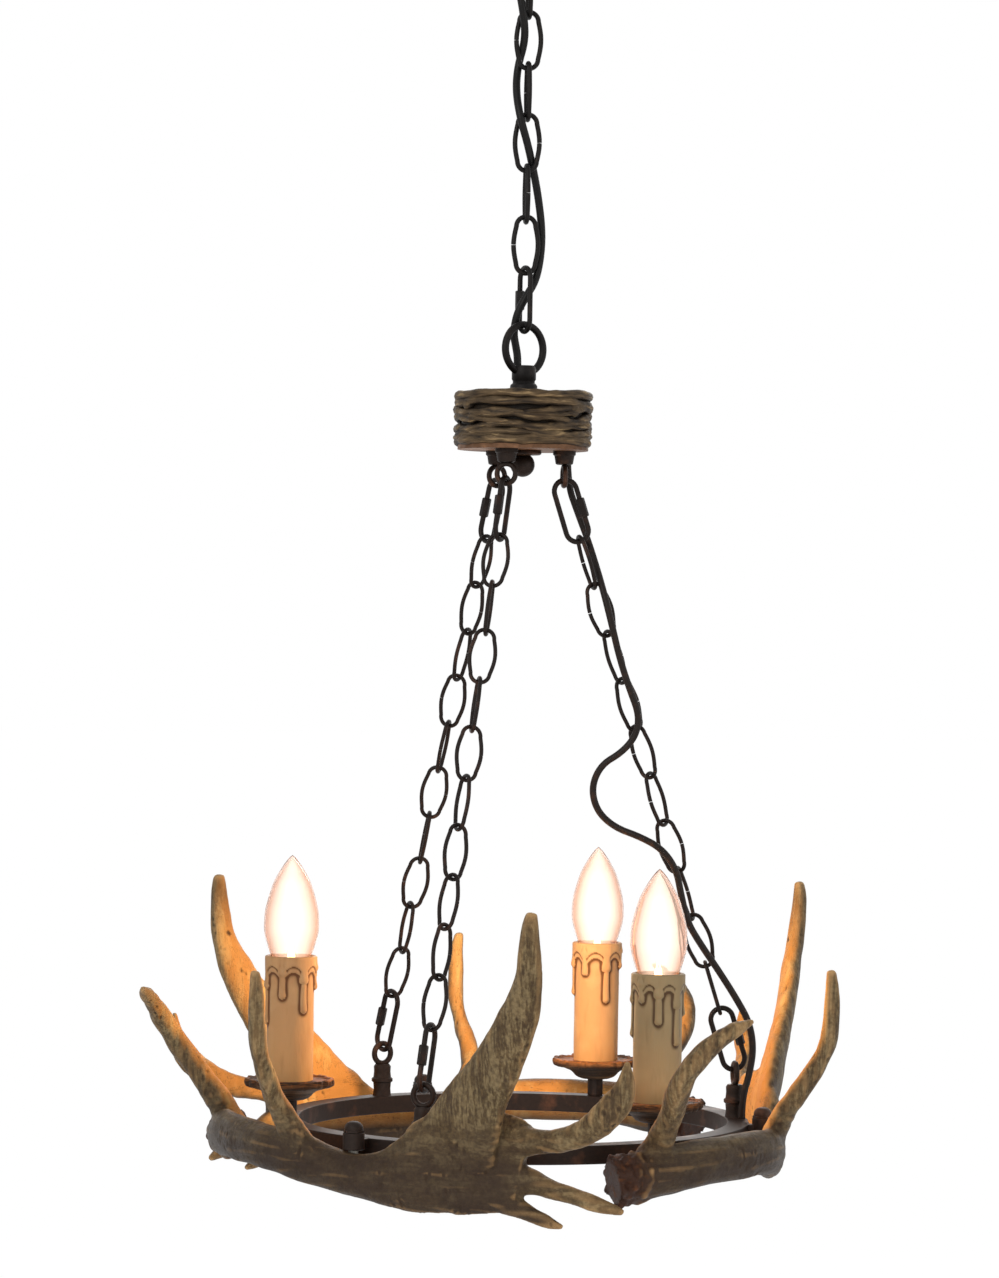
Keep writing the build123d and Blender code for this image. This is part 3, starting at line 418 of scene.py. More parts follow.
def link_row(name, size, finish, place, first=0.0, step=0.0, count=1, pitch=0.0):
    """A row of like links, from size = (inner, width, wire, bend, split) in mm."""
    curve, _ = drawn(name, "POLY", [(x, 0, z) for x, z in link_line(*size)])
    made = baked(placed(name, curve), name, links, {
        "Wire": size[2] * MM, "Count": count, "Pitch": pitch * MM, "First Turn": radians(first),
        "Step Turn": radians(step), "Finish": finish})
    scaled = place.copy()
    scaled.translation = place.translation * MM
    made.data.transform(scaled)
    return made


chain_iron = metal_finish("chain_iron", srgb(20, 17, 16), srgb(50, 40, 33), 0.36, 120.0, 0.3, 0.5)
for number in range(6):
    middle = LINK_TOP - LINK_LENGTH / 2 - number * LINK_PITCH
    split_side = 90 * ((number + 1) % 2) + 180 * ((number + 2) % 4 // 2)
    name = f"top_link_{number + 1}"
    link = link_row(name, TOP_LINK, chain_iron, at(0, 0, middle), split_side)
    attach(link, f"link_{number + 1}")
    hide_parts(f"chain_link_{number + 1}")

# ---- Top quick link and its sleeve nut ----
# A long oval link of bent steel wire, open in one side. A hexagonal nut screws over the opening
# and slides on the link, so it rides on its own body.
QUICK_TOP = -252.7
QUICK = (37.5, 18.0, 3.4, 7.3, 7.0)
QUICK_HALF = QUICK[0] / 2
QUICK_TURN = 109.0


def sleeve_nut():
    """A hexagonal sleeve nut with turned ends, standing at the open side of a quick link."""
    outline = [(1.9, -6.25), (2.6, -6.25), (3.1, -5.6), (3.1, 5.6), (2.6, 6.25), (1.9, 6.25)]
    return moved(turned(outline, 6), at((QUICK[1] - QUICK[2]) / 2, 0, 0))


quick = link_row("top_quick_link_wire", QUICK, chain_iron, at(0, 0, QUICK_TOP - QUICK_HALF), QUICK_TURN)
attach(quick, "quick_link")
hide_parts("top_quick_link")
make(
    "top_sleeve_nut", [moved(sleeve_nut(), at(0, 0, QUICK_TOP - QUICK_HALF, QUICK_TURN))], chain_iron,
    "quick_nut", ["top_quick_link_nut"], bevel=0.25,
)

# ---- Hub loop ----
# A heavy cast ring on a stepped, turned collar, painted near black. It screws on the tube through
# the hub, and the whole lamp hangs by it in the quick link.
HUB_TOP = -331.0
HUB_BOTTOM = -365.0
bronze = metal_finish("aged_bronze", srgb(35, 24, 18), srgb(92, 58, 38), 0.4, 60.0, 0.38, 0.45)
hub_collar = [
    (0, HUB_TOP), (8.75, HUB_TOP), (8.75, HUB_TOP + 4.2), (8.1, HUB_TOP + 5.2), (7.1, HUB_TOP + 6.0),
    (7.1, HUB_TOP + 7.4), (7.8, HUB_TOP + 8.4), (7.8, HUB_TOP + 15.4), (6.9, HUB_TOP + 17.2),
    (0, HUB_TOP + 17.2),
]
make(
    "hub_ring", [turned(hub_collar, 48), moved(eye(15.6, 4.8), at(0, 0, -303.1, 32))],
    black_iron, "fixture", ["hub_loop"],
)

# ---- Hub of wound twigs ----
# Cast resin, carved as strands of twig wound round a drum and over its top, with a plate below.
# The strands wander, swell and cross, with knots where shoots were cut off.
STRAND = (HUB_TOP - HUB_BOTTOM) / 7
KNOT_REACH = 42.6
sizes = ("First Radius", "Radius Step", "First Height", "Height Step", "Thickness", "Wander", "Seed")
wound, given, out = new_grower("wound_strands", ("Count", "Int"), *((label, "Float") for label in sizes))
order = outlet(wound, "GeometryNodeInputIndex")
heights = calc("MULTIPLY_ADD", order, given["Height Step"], given["First Height"])
reach = calc("MULTIPLY_ADD", order, given["Radius Step"], given["First Radius"])
points = outlet(wound, "GeometryNodePoints", {"Count": given["Count"], "Position": xyz(Z=heights)})
hoop = outlet(wound, "GeometryNodeCurvePrimitiveCircle", {"Resolution": 150, "Radius": 1.0})
hoops = outlet(wound, "GeometryNodeInstanceOnPoints", {
    "Points": points, "Instance": hoop, "Scale": xyz(X=reach, Y=reach, Z=1.0),
    "Rotation": about_z(calc("MULTIPLY", order, 1.3))})
hoops = outlet(wound, "GeometryNodeRealizeInstances", {0: hoops})
where = outlet(wound, "GeometryNodeInputPosition")
squeezed = outlet(wound, "ShaderNodeVectorMath", {0: where, 1: (1.0, 1.0, 9.0)}, operation="MULTIPLY")
field = node(wound, "ShaderNodeTexNoise", {
    "Vector": squeezed, "W": given["Seed"], "Scale": 30.0, "Detail": 0.6}, noise_dimensions="4D")
shift = outlet(wound, "ShaderNodeVectorMath", {
    0: field.outputs["Color"], 1: (0.5, 0.5, 0.5)}, operation="SUBTRACT")
middle = (HUB_TOP + HUB_BOTTOM) / 2 * MM
height = node(wound, "ShaderNodeSeparateXYZ", {0: where}).outputs["Z"]
edge = calc("ABSOLUTE", calc("SUBTRACT", height, middle))
free = xyz(X=0.16, Y=0.16, Z=ramp(edge, 0.009, 0.015, 1.0, 0.3))
shift = outlet(wound, "ShaderNodeVectorMath", {0: shift, 1: free}, operation="MULTIPLY")
shift = outlet(wound, "ShaderNodeVectorMath", {0: shift, "Scale": given["Wander"]}, operation="SCALE")
strands = outlet(wound, "GeometryNodeSetPosition", {"Geometry": hoops, "Offset": shift})
swell = node(wound, "ShaderNodeTexNoise", {
    "Vector": squeezed, "W": given["Seed"], "Scale": 75.0, "Detail": 1.0}, noise_dimensions="4D")
swell = ramp(swell.outputs["Fac"], 0.3, 0.7, 0.72, 1.28)
section = outlet(wound, "GeometryNodeCurvePrimitiveCircle", {"Resolution": 10, "Radius": given["Thickness"]})
strands = outlet(wound, "GeometryNodeSetCurveRadius", {"Curve": strands, "Radius": swell})
bent = outlet(wound, "GeometryNodeCurveToMesh", {"Curve": strands, "Profile Curve": section, "Scale": swell})
end_grower(bent, given["Finish"], out)


def whereabouts(tree):
    """X, Y and Z of the shaded place, in metres."""
    place = node(tree, "ShaderNodeTexCoord").outputs["Object"]
    return node(tree, "ShaderNodeSeparateXYZ", {0: place}).outputs


twig, tree, shader = new_finish("carved_twig", 0.55)
where = whereabouts(tree)
far = xyz(X=where["X"], Y=where["Y"])
far = node(tree, "ShaderNodeVectorMath", {0: far}, operation="LENGTH").outputs["Value"]
across = calc("MULTIPLY_ADD", far, 9.0, calc("MULTIPLY", where["Z"], 8.0))
bark = grained(xyz(X=where["X"], Y=where["Y"], Z=across), 60.0, 5.0, 0.55)
patch = mottled(tree, 55.0, 0.5, 0.2)
tone = mix(ramp(bark, 0.35, 0.66), srgb(38, 29, 20), srgb(116, 96, 70))
gold = calc("MULTIPLY", ramp(bark, 0.58, 0.7), 0.6)
# Painted shade: below the top, the drum and the strands' inner sides go near black in the gaps between
# strands.
painted_gap_shade = calc("MULTIPLY", ramp(where["Z"], (HUB_TOP - 3.0) * MM, (HUB_TOP - 5.0) * MM),
              ramp(far, 0.0442, 0.0424, 0.0, 0.9))
tone = layered(tone, (patch["Mask"], mix(0.5, tone, srgb(62, 47, 30))),
               (gold, srgb(176, 150, 108)), (painted_gap_shade, srgb(20, 14, 10)))
feed(shader, {"Base Color": tone})
bumped(shader, bark, 0.0012, 0.7)

# A winding is its number of strands and then the sizes named above, in metres.
WINDINGS = (
    ("hub_side_strands", 7, 0.0414, 0.0, (HUB_BOTTOM + STRAND / 2) * MM, STRAND * MM, 0.0029, 0.013, 3.0),
    ("hub_thin_strands", 3, 0.0428, 0.0, (HUB_BOTTOM + STRAND) * MM, 1.7 * STRAND * MM, 0.0015, 0.02, 8.0),
    ("hub_top_strands", 7, 0.0125, 0.0045, (HUB_TOP - 2.6) * MM, -0.00006, 0.0027, 0.0038, 5.0),
)
for name, count, *values in WINDINGS:
    made = baked(placed(name, bpy.data.meshes.new(name)), name, wound, {
        "Count": count, **dict(zip(sizes, values)), "Finish": twig})
    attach(made, "fixture")
    if name == "hub_side_strands":
        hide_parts("hub_shell")
drum = [(TUBE_HOLE, HUB_TOP - 1.6), (38.5, HUB_TOP - 2.5), (39.4, HUB_TOP - 4.0), (39.4, HUB_BOTTOM + 1.0),
        (38, HUB_BOTTOM + 0.1), (38, HUB_TOP - 7), (TUBE_HOLE, HUB_TOP - 7)]
make("hub_drum", [turned(drum, 72)], twig, "fixture")


def out_at(heading, reach, height):
    """A place at a heading in degrees round the lamp's axis, facing outward."""
    return Matrix.Rotation(radians(heading), 4, "Z") @ Matrix.Translation((reach, 0, height))


knots = []
for heading, height, size in ((-48, -343, 4.6), (12, -356, 3.4), (205, -340, 3.8), (118, -352, 4.2)):
    stub = [(0, -3), (size, -3), (size * 0.95, 0.6), (size * 0.55, 1.5), (0, 1.1)]
    place = out_at(heading, KNOT_REACH, height)
    knots.append(moved(turned(stub, 18), place @ Matrix.Rotation(pi / 2, 4, "Y")))
make("hub_knots", knots, twig, "fixture", crease=60)

# ---- Plate, washer and ball under the hub ----
# A pressed steel plate with a worn bronze finish closes the hub from below. A washer and a turned
# ball hold it on the threaded tube.
PLATE_BOTTOM = -368.0
BALL_RADIUS = 7.8
BALL_MIDDLE = PLATE_BOTTOM - 9.3
plate_bronze = metal_finish("plate_bronze", srgb(104, 74, 52), srgb(168, 122, 88), 0.42, 45.0, 0.45, 0.5)
refinish(["hub_plate", "hub_nipple"], plate_bronze)
washer = [(TUBE_HOLE, PLATE_BOTTOM), (11.6, PLATE_BOTTOM), (12, PLATE_BOTTOM - 0.6), (12, PLATE_BOTTOM - 2.2),
          (11, PLATE_BOTTOM - 3), (TUBE_HOLE, PLATE_BOTTOM - 3)]
make("finial_disc", [turned(washer, 48)], bronze, "fixture", ["finial_washer"])
steps = [radians(a) for a in range(36, 181, 9)]
ball = [(BALL_RADIUS * sin(a), BALL_MIDDLE + BALL_RADIUS * cos(a)) for a in steps]
ball = [(0, PLATE_BOTTOM - 3), (4.6, PLATE_BOTTOM - 3), *ball[:-1], (0, ball[-1][1])]
make("finial_ball", [turned(ball, 40)], bronze, "fixture", ["hub_finial"])

# ---- Eye bolts under the hub ----
# Three cast eyes on turned bodies, in aged bronze. Each goes through the plate and is held by a
# nut inside the hub.
THIRDS = (0, 120, 240)
EYE_REACH = 27
eyebolts = []
body = [(0, 0), (7.35, 0), (7.35, -2.4), (6.45, -3.2), (5.6, -8.2), (4.6, -8.8), (0, -8.8)]
for heading in THIRDS:
    place = out_at(heading, EYE_REACH, PLATE_BOTTOM)
    eyebolts.append(moved(turned(body, 32), place))
    eyebolts.append(moved(turned([(0, 8), (3, 8), (3, 0), (0, 0)], 20), place))
    eyebolts.append(moved(eye(6.3, 3.4, 40, 14), place @ at(0, 0, -16.0, 90)))
make("hub_eyes", eyebolts, bronze, "fixture", ["hub_eyebolts"])

# ---- Three suspension chains ----
# Each chain is a quick link, ten links of 2.6 mm steel wire that turn evenly along it, and a quick
# link, all with a worn bronze finish. It is pulled straight between the hub and the ring.
CHAIN_LEAN = radians(-17.52)
CHAIN_START = -2.0
CHAIN_TOP = -390.3
CHAIN_LENGTH = 392.4
FIRST_LINK = 37.2
SMALL = (32.1, 18.5, 2.6, 6.0, 0.4)
STEP_TURN = 98.1818
chain_bronze = metal_finish("chain_bronze", srgb(27, 19, 16), srgb(80, 52, 38), 0.36, 60.0, 0.36, 0.5)
quick_nuts = []
for index, heading in enumerate(THIRDS):
    hang = out_at(heading, EYE_REACH, CHAIN_TOP) @ Matrix.Rotation(CHAIN_LEAN, 4, "Y")
    place = hang @ at(0, 0, -(CHAIN_START + FIRST_LINK + SMALL[0] / 2))
    chain = link_row(f"chain_{index + 1}", SMALL, chain_bronze, place, STEP_TURN, STEP_TURN, 10, 31.8)
    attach(chain, "fixture")
    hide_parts(f"suspension_chain_{index + 1}")
    last = CHAIN_START + CHAIN_LENGTH - QUICK_HALF + 0.3
    for number, distance in ((0, CHAIN_START + QUICK_HALF), (11, last)):
        place = hang @ at(0, 0, -distance)
        name = f"end_link_{index + 1}_{number}"
        link = link_row(name, QUICK, chain_bronze, place, number * STEP_TURN)
        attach(link, "fixture")
        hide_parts("chain_quick_links")
        quick_nuts.append(moved(sleeve_nut(), place @ at(0, 0, 0, number * STEP_TURN)))
make("end_link_nuts", quick_nuts, chain_bronze, "fixture", ["quick_link_nuts"], bevel=0.25)

# ---- Ring ----
# A steel channel rolled into a ring and painted in aged bronze, open below. Three lugs with bosses
# are welded to its outside and carry the antlers.
RING_TOP = -795.416
RING_BOTTOM = -806.916
RING_RADIUS = 144
RING_WALL = 2.2
RING_HALF = 7
LUG_DEPTH = 6.5
BOLT_HEADING = 105
BOLT_RADIUS = 160
inner, outer = RING_RADIUS - RING_HALF, RING_RADIUS + RING_HALF
ring_line = [
    (inner, RING_BOTTOM), (inner, RING_TOP), (outer, RING_TOP), (outer, RING_BOTTOM),
    (outer - RING_WALL, RING_BOTTOM), (outer - RING_WALL, RING_TOP - RING_WALL),
    (inner + RING_WALL, RING_TOP - RING_WALL), (inner + RING_WALL, RING_BOTTOM),
]


def block(low, high):
    """A box between two corners."""
    corners = [(x, y, z) for z in (low[2], high[2]) for y in (low[1], high[1]) for x in (low[0], high[0])]
    return corners, [(0, 1, 3, 2), (4, 5, 7, 6), (0, 1, 5, 4), (2, 3, 7, 6), (0, 2, 6, 4), (1, 3, 7, 5)]


ring_shapes = [turned(ring_line, 180)]
for heading in THIRDS:
    place = out_at(BOLT_HEADING + heading, 0, 0)
    boss = [(0, RING_TOP + 4), (6.7, RING_TOP + 4), (6.7, RING_TOP - LUG_DEPTH), (0, RING_TOP - LUG_DEPTH)]
    ring_shapes.append(moved(turned(boss, 40), place @ at(BOLT_RADIUS, 0, 0)))
    lug = block((148, -4.5, RING_TOP - LUG_DEPTH), (BOLT_RADIUS, 4.5, RING_TOP))
    ring_shapes.append(moved(lug, place))
make("ring_channel", ring_shapes, bronze, "fixture", ["ring_frame"], bevel=0.7)

# ---- Eye posts on the ring ----
# Turned posts with a flange at mid height and a cast eye on top, in aged bronze. Each stands on
# the ring and is held by a nut inside the channel.
posts = []
post_line = [
    (0, 0), (6.4, 0), (5.9, 0.8), (5.6, 4.5), (5.9, 8.6), (7.0, 9.5), (7.0, 11.3), (5.9, 12.2), (5.5, 16),
    (5.7, 19.4), (4.6, 21), (0, 21),
]
for heading in THIRDS:
    place = out_at(heading, RING_RADIUS, RING_TOP)
    posts.append(moved(turned(post_line, 40), place))
    posts.append(moved(turned([(0, 0), (3, 0), (3, -7.2), (0, -7.2)], 20), place))
    posts.append(moved(eye(6.6, 3.7, 40, 14), place @ at(0, 0, 28, 90)))
make("ring_eyes", posts, bronze, "fixture", ["ring_eye_posts"], crease=45)

# ---- Acorn nuts ----
# Turned, domed nuts on six-sided feet, in the same bronze. They close the studs that hold each
# antler to its boss.
nuts = []
dome = [(0, 7.0), (2.2, 6.8), (4.0, 6.0), (5.2, 4.7), (5.75, 3.4)]
for heading in THIRDS:
    place = out_at(BOLT_HEADING + heading, BOLT_RADIUS, RING_TOP + 4)
    nuts.append(moved(turned([*dome, (5.75, 1.4), (0, 1.4)], 30), place))
    nuts.append(moved(turned([(0, 1.5), (6.5, 1.5), (6.5, 0), (0, 0)], 6), place))
make("domed_nuts", nuts, bronze, "fixture", ["acorn_nuts"], crease=30, bevel=0.3)
refinish(["antler_studs", "candle_rods"], zinc)
refinish(["candle_stems"], bronze)

# ---- Drip dishes ----
# Cast resin dishes shaped as slices of bark, with a thick furrowed rim, painted orange along its raised top
# for the glow of the bulbs.
# Each is clamped under its sleeve by the rod that runs up from the ring.
CANDLES = (60, 180, 300)
DISH_RADIUS = 29.5
DISH_FOOT = 17
bark_dish, tree, shader = new_finish("bark_dish", 0.6)
furrow = mottled(tree, 60.0, 0.5, 0.22, (0.45, 0.45, 6.0))
patch = mottled(tree, 25.0, 0.5, 0.25)
tone = mix(furrow["Mask"], srgb(44, 31, 21), srgb(106, 80, 54))
# Painted light: the raised top of the rim turns orange for the warm glow of the bulbs.
lip = ramp(whereabouts(tree)["Z"], -0.7745, -0.7695)
lip = calc("MULTIPLY", lip, ramp(furrow["Height"], 0.85, 1.15))
tone = layered(tone, (patch["Mask"], mix(0.5, tone, srgb(88, 60, 38))), (lip, srgb(170, 106, 56)))
feed(shader, {"Base Color": tone})
bumped(shader, furrow["Height"], 0.0018, 0.8)


def furrowed(shape, depth, seed):
    """Cuts furrows into a turned shape, deepest at its rim."""
    points, faces = shape
    cut = []
    for x, y, z in points:
        reach = hypot(x, y)
        if reach > DISH_FOOT:
            grow = (reach - DISH_FOOT) / (DISH_RADIUS - DISH_FOOT)
            tilt = atan2(y, x)
            streak = noise.noise(Vector((9 * cos(tilt), 9 * sin(tilt), seed + z * 0.05)))
            ripple = noise.noise(Vector((26 * cos(tilt), 26 * sin(tilt), seed + z * 0.12)))
            push = 1 - grow * depth / DISH_RADIUS * (0.5 - 0.75 * streak - 0.45 * ripple)
            x, y = x * min(push, 1.0), y * min(push, 1.0)
            z += grow * (0.9 * streak + 0.5 * ripple) - grow * 0.7
        cut.append((x, y, z))
    return cut, faces


def smoothed(points, steps=6):
    """A Catmull-Rom line through rows of numbers."""
    rows = np.array(points, float)
    ends = np.vstack([2 * rows[0] - rows[1], rows, 2 * rows[-1] - rows[-2]])
    line = []
    for a, b, c, d in zip(ends, ends[1:], ends[2:], ends[3:]):
        for t in np.linspace(0, 1, steps, endpoint=False):
            line.append(0.5 * (2 * b + (c - a) * t + (2 * a - 5 * b + 4 * c - d) * t**2
                               + (3 * b - a - 3 * c + d) * t**3))
    return [tuple(row) for row in line] + [tuple(rows[-1])]


dish_line = smoothed([
    (9.5, 11.5), (13, 13.0), (16.5, 16.5), (20.5, 18.3), (24.5, 20.0), (28.3, 20.6), (29.4, 22.0),
    (DISH_RADIUS, 24.2), (28.9, 25.4), (27.2, 25.5), (26.4, 24.9), (25.6, 24.2),
], 3)
dish_line = [(4.1, 11.5), *dish_line, (15.0, 24.0), (4.1, 24.0)]
for index, heading in enumerate(CANDLES):
    dish = furrowed(turned(dish_line, 132), 2.6, 11.0 * index)
    dish = moved(dish, out_at(heading, RING_RADIUS, RING_TOP))
    make(f"dish_{index + 1}", [dish], bark_dish, "fixture", [f"drip_dish_{index + 1}"], crease=70)

# ---- Candle sleeves ----
# Resin sleeves cast as wax candles: wax has run over the lip, set in scallops and in long drips
# that end in beads. Brown shade is painted in the creases and inside the sleeve, and warm light
# towards the foot.
SLEEVE_FOOT = 24.0
SLEEVE_HEIGHT = 79.0
SLEEVE_RADIUS = 14.9
SLEEVE_BORE = 13.9
DRIPS = [(10, 44), (65, 27), (118, 36), (170, 22), (226, 40), (280, 18), (322, 31)]


def wax_relief(turn, drop, seed):
    """How far the wax stands out from the sleeve, turn in degrees and drop in mm from the lip."""
    stand = 0.0
    for heading, length in DRIPS:
        away = abs((turn - heading + 180) % 360 - 180) * 15 * pi / 180
        for share, wide, deep in ((1.0, 2.1, 1.5), (0.5, 3.0, 1.8)):
            run = length * share
            wide *= 1 + 0.25 * (drop / max(run, 1)) ** 3
            past = max(drop - (run - wide), 0) / wide
            inside = 1 - (away / wide) ** 2 - past**2
            if inside > 0:
                bead = 1 + 0.4 * exp(-((drop - run + wide) / 3.0) ** 2)
                stand = max(stand, deep * bead * inside**0.5)
    ordered = sorted(heading for heading, _ in DRIPS)
    gaps = zip(ordered, ordered[1:] + [ordered[0] + 360])
    for start, end in gaps:
        share = ((turn - start) % 360) / (end - start)
        if 0 <= share <= 1:
            arch = sin(pi * share) ** 0.6
            for level, deep in ((15.0 - 8.5 * arch, 1.75), (19.5 - 9.5 * arch, 1.0)):
                if drop < level:
                    stand = max(stand, deep * min(1, (level - drop) / 1.1) ** 0.5)
    ripple = noise.noise(Vector((cos(radians(turn)) * 3, sin(radians(turn)) * 3, drop * 0.05 + seed)))
    return stand + 0.22 * ripple


def wax_sleeve(name, heading, finish, seed):
    """One sleeve as a closed shell, its creases kept in an attribute for painted shade."""
    around, rows = 190, 116
    drops = np.linspace(0, SLEEVE_HEIGHT, rows)
    turns = np.arange(around) * 360 / around
    relief = np.array([[wax_relief(turn, drop, seed) for turn in turns] for drop in drops])
    soft = relief.copy()
    for _ in range(20):
        padded = np.pad(soft, ((1, 1), (0, 0)), "edge")
        soft = (padded[:-2] + padded[2:] + np.roll(soft, 1, 1) + np.roll(soft, -1, 1) + 2 * soft) / 6
    # Painted shade: where the relief sinks below its softened self, the finish darkens it brown.
    crease = np.clip((soft - relief) * 2.2, 0, 1)
    reaches = SLEEVE_RADIUS + relief
    reaches[0] -= 0.8
    lining = np.array([SLEEVE_BORE, SLEEVE_BORE, 14.3])[:, None] + np.zeros(around)
    heights = [*(SLEEVE_FOOT + SLEEVE_HEIGHT - drops), SLEEVE_FOOT, SLEEVE_FOOT + SLEEVE_HEIGHT - 0.4,
               SLEEVE_FOOT + SLEEVE_HEIGHT]
    reaches = np.vstack([reaches, lining])
    points = [(reach * cos(radians(turn)), reach * sin(radians(turn)), height)
              for row, height in zip(reaches, heights) for reach, turn in zip(row, turns)]
    # The inside of the sleeve takes a fixed share of the same painted shade.
    dark = np.vstack([crease, np.full(lining.shape, 0.2)])
    total = len(heights)
    faces = []
    for row in range(total):
        for k in range(around):
            low, high = row * around, ((row + 1) % total) * around
            faces.append((low + k, low + (k + 1) % around, high + (k + 1) % around, high + k))
    place = out_at(heading, RING_RADIUS, RING_TOP)
    made = make(name, [moved((points, faces), place)], finish, "fixture", crease=70)
    stain_and_shade = made.data.attributes.new("crease", "FLOAT", "POINT")
    stain_and_shade.data.foreach_set("value", dark.astype(np.float32).ravel())
    return made


def stored(tree, name, output="Fac"):
    """A mask kept on the mesh."""
    return node(tree, "ShaderNodeAttribute", attribute_name=name).outputs[output]


def wax_finish(name, wax, lit, foot, stain_and_shade):
    """Cream resin with brown streaks, painted brown shade in its creases and painted warm light towards its
    foot.
    """
    made, tree, shader = new_finish(name, 0.48)
    cloud = mottled(tree, 42.0, 0.5, 0.3)
    streak = mottled(tree, 160.0, 0.4, 0.25, (1.0, 1.0, 0.18))
    tone = layered(
        # Painted warm light: the sleeve turns golden towards its foot.
        wax, (cloud["Mask"], lit), (ramp(whereabouts(tree)["Z"], -0.722, -0.765, 0.0, 0.45), foot),
        (calc("MULTIPLY", streak["Mask"], 0.3), stain_and_shade),
        # Painted shade in the creases and inside the sleeve.
        (ramp(stored(tree, "crease"), 0.05, 0.6, 0.0, 0.95), stain_and_shade),
    )
    feed(shader, {"Base Color": tone, "Subsurface Weight": 0.12, "Subsurface Radius": (0.004, 0.002, 0.001),
                  "Subsurface Scale": 0.6})
    bumped(shader, streak["Height"], 0.0004, 0.4)
    return made


golden_wax = wax_finish(
    "golden_wax", srgb(177, 135, 93), srgb(194, 156, 112), srgb(200, 150, 92), srgb(90, 54, 28)
)
grey_wax = wax_finish(
    "olive_wax", srgb(146, 128, 96), srgb(164, 144, 108), srgb(192, 150, 98), srgb(74, 54, 36)
)
for index, (heading, wax) in enumerate(zip(CANDLES, (golden_wax, golden_wax, grey_wax))):
    sleeve = wax_sleeve(f"sleeve_{index + 1}", heading, wax, 5.0 * index)
    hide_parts(f"candle_sleeve_{index + 1}")

# ---- Lamp holders and flame bulbs ----
# White holders stand inside the sleeves. Each takes a small screw bulb of clear, flame-shaped
# glass, shown lit, with a warm rim where the glass is seen edge on.
GLASS_FOOT = 88.0
BULB_HEIGHT = 79.0
GLASS_WALL = 0.9
holder_white = speckled("holder_white", (0.4,), 120.0, 0.12, srgb(226, 220, 206), srgb(206, 198, 182))
refinish([f"lamp_holder_{number}" for number in (1, 2, 3)], holder_white)
brass = metal_finish("lamp_brass", srgb(176, 134, 70), srgb(206, 168, 98), 0.3, 110.0, 0.5, 0.9)
refinish([f"bulb_cap_{number}" for number in (1, 2, 3)], brass)
glow, tree, shader = new_finish("hot_filament", 0.5)
spots = mottled(tree, 200.0, 0.5)
feed(shader, {"Base Color": mix(spots["Mask"], srgb(255, 224, 168), srgb(255, 240, 206)),
              "Emission Color": mix(spots["Mask"], srgb(255, 214, 150), srgb(255, 236, 196)),
              "Emission Strength": 4.0})
refinish(["bulb_filaments"], glow)

glass, tree, shader = new_finish("lit_glass", 0.04)
spots = mottled(tree, 30.0, 0.5, 0.3)
edge_on = node(tree, "ShaderNodeLayerWeight", {"Blend": 0.45}).outputs["Facing"]
rim = ramp(edge_on, 0.03, 0.5)
tint = mix(spots["Mask"], srgb(255, 246, 238), srgb(255, 250, 244))
feed(shader, {"Transmission Weight": 0.9, "Specular IOR Level": 0.5, "IOR": 1.15,
              "Base Color": mix(rim, tint, srgb(240, 212, 198)),
              "Emission Color": mix(rim, srgb(255, 240, 222), srgb(70, 40, 26)),
              "Emission Strength": 0.16})
flame = smoothed([(6.9, 0.0), (9.4, 0.07), (13.0, 0.19), (17.0, 0.36), (17.5, 0.46), (16.6, 0.58),
                  (12.5, 0.76), (8.5, 0.86), (5.0, 0.93), (2.2, 0.975), (0.0, 1.0)], 4)
outer = [(max(r, 0.0), GLASS_FOOT + BULB_HEIGHT * h) for r, h in flame]
inner = [(max(r - GLASS_WALL, 0.0), GLASS_FOOT + (BULB_HEIGHT - GLASS_WALL) * h) for r, h in reversed(flame)]
inner = [point for point in inner if point[0] > 0.05]
bulb_line = [*outer, (0.0, inner[0][1] + 0.3), *inner]
for index, heading in enumerate(CANDLES):
    place = out_at(heading, RING_RADIUS, RING_TOP)
    make(f"flame_{index + 1}", [moved(turned(bulb_line, 56), place)], glass, "fixture",
         [f"bulb_glass_{index + 1}"], crease=60)

# ---- Antlers ----
# Three resin castings from one mould: a beam with its burr at one end, bent under the ring, that
# widens into a palm and bears six tines. Ridges and pores run along the horn. Each is bolted up
# to a boss of the ring.

# A station is degrees past the bolt, distance from the lamp's axis, height above the ring top,
# width across the blade, and thickness.
BEAM = [
    (-63.7, 185.0, -18.0, 29.0, 26.5), (-60.0, 184.6, -16.0, 30.0, 25.5), (-54.0, 184.4, -13.0, 30.0, 24.0),
    (-40.0, 183.0, -8.5, 29.0, 21.0), (-21.6, 178.5, -9.3, 29.0, 20.0), (-11.5, 171.0, -13.4, 30.5, 19.5),
    (-5.4, 166.0, -18.3, 28.0, 19.0), (1.7, 164.3, -21.3, 27.2, 18.0), (9.6, 165.0, -21.0, 35.0, 17.0),
    (16.8, 168.0, -16.6, 50.5, 16.0), (23.3, 171.5, -9.2, 63.0, 15.5), (29.0, 174.5, -7.6, 64.0, 15.0),
    (35.0, 178.0, -6.4, 62.0, 13.0), (39.5, 182.0, -9.2, 52.0, 10.5),
]
BROW_TINE = [
    (-57.0, 180.0, -14.0, 22.0, 22.0), (-54.6, 185.5, 2.0, 18.5, 18.5), (-54.5, 196.0, 16.5, 15.6, 16.5),
    (-54.5, 203.0, 26.5, 15.0, 15.5), (-55.0, 211.0, 36.5, 14.5, 15.0), (-55.0, 218.0, 46.5, 14.2, 15.0),
    (-54.0, 224.5, 57.0, 13.8, 14.0), (-51.8, 229.5, 67.0, 12.8, 12.6), (-48.8, 234.5, 76.0, 9.8, 9.8),
    (-45.8, 238.4, 81.6, 3.2, 3.6),
]
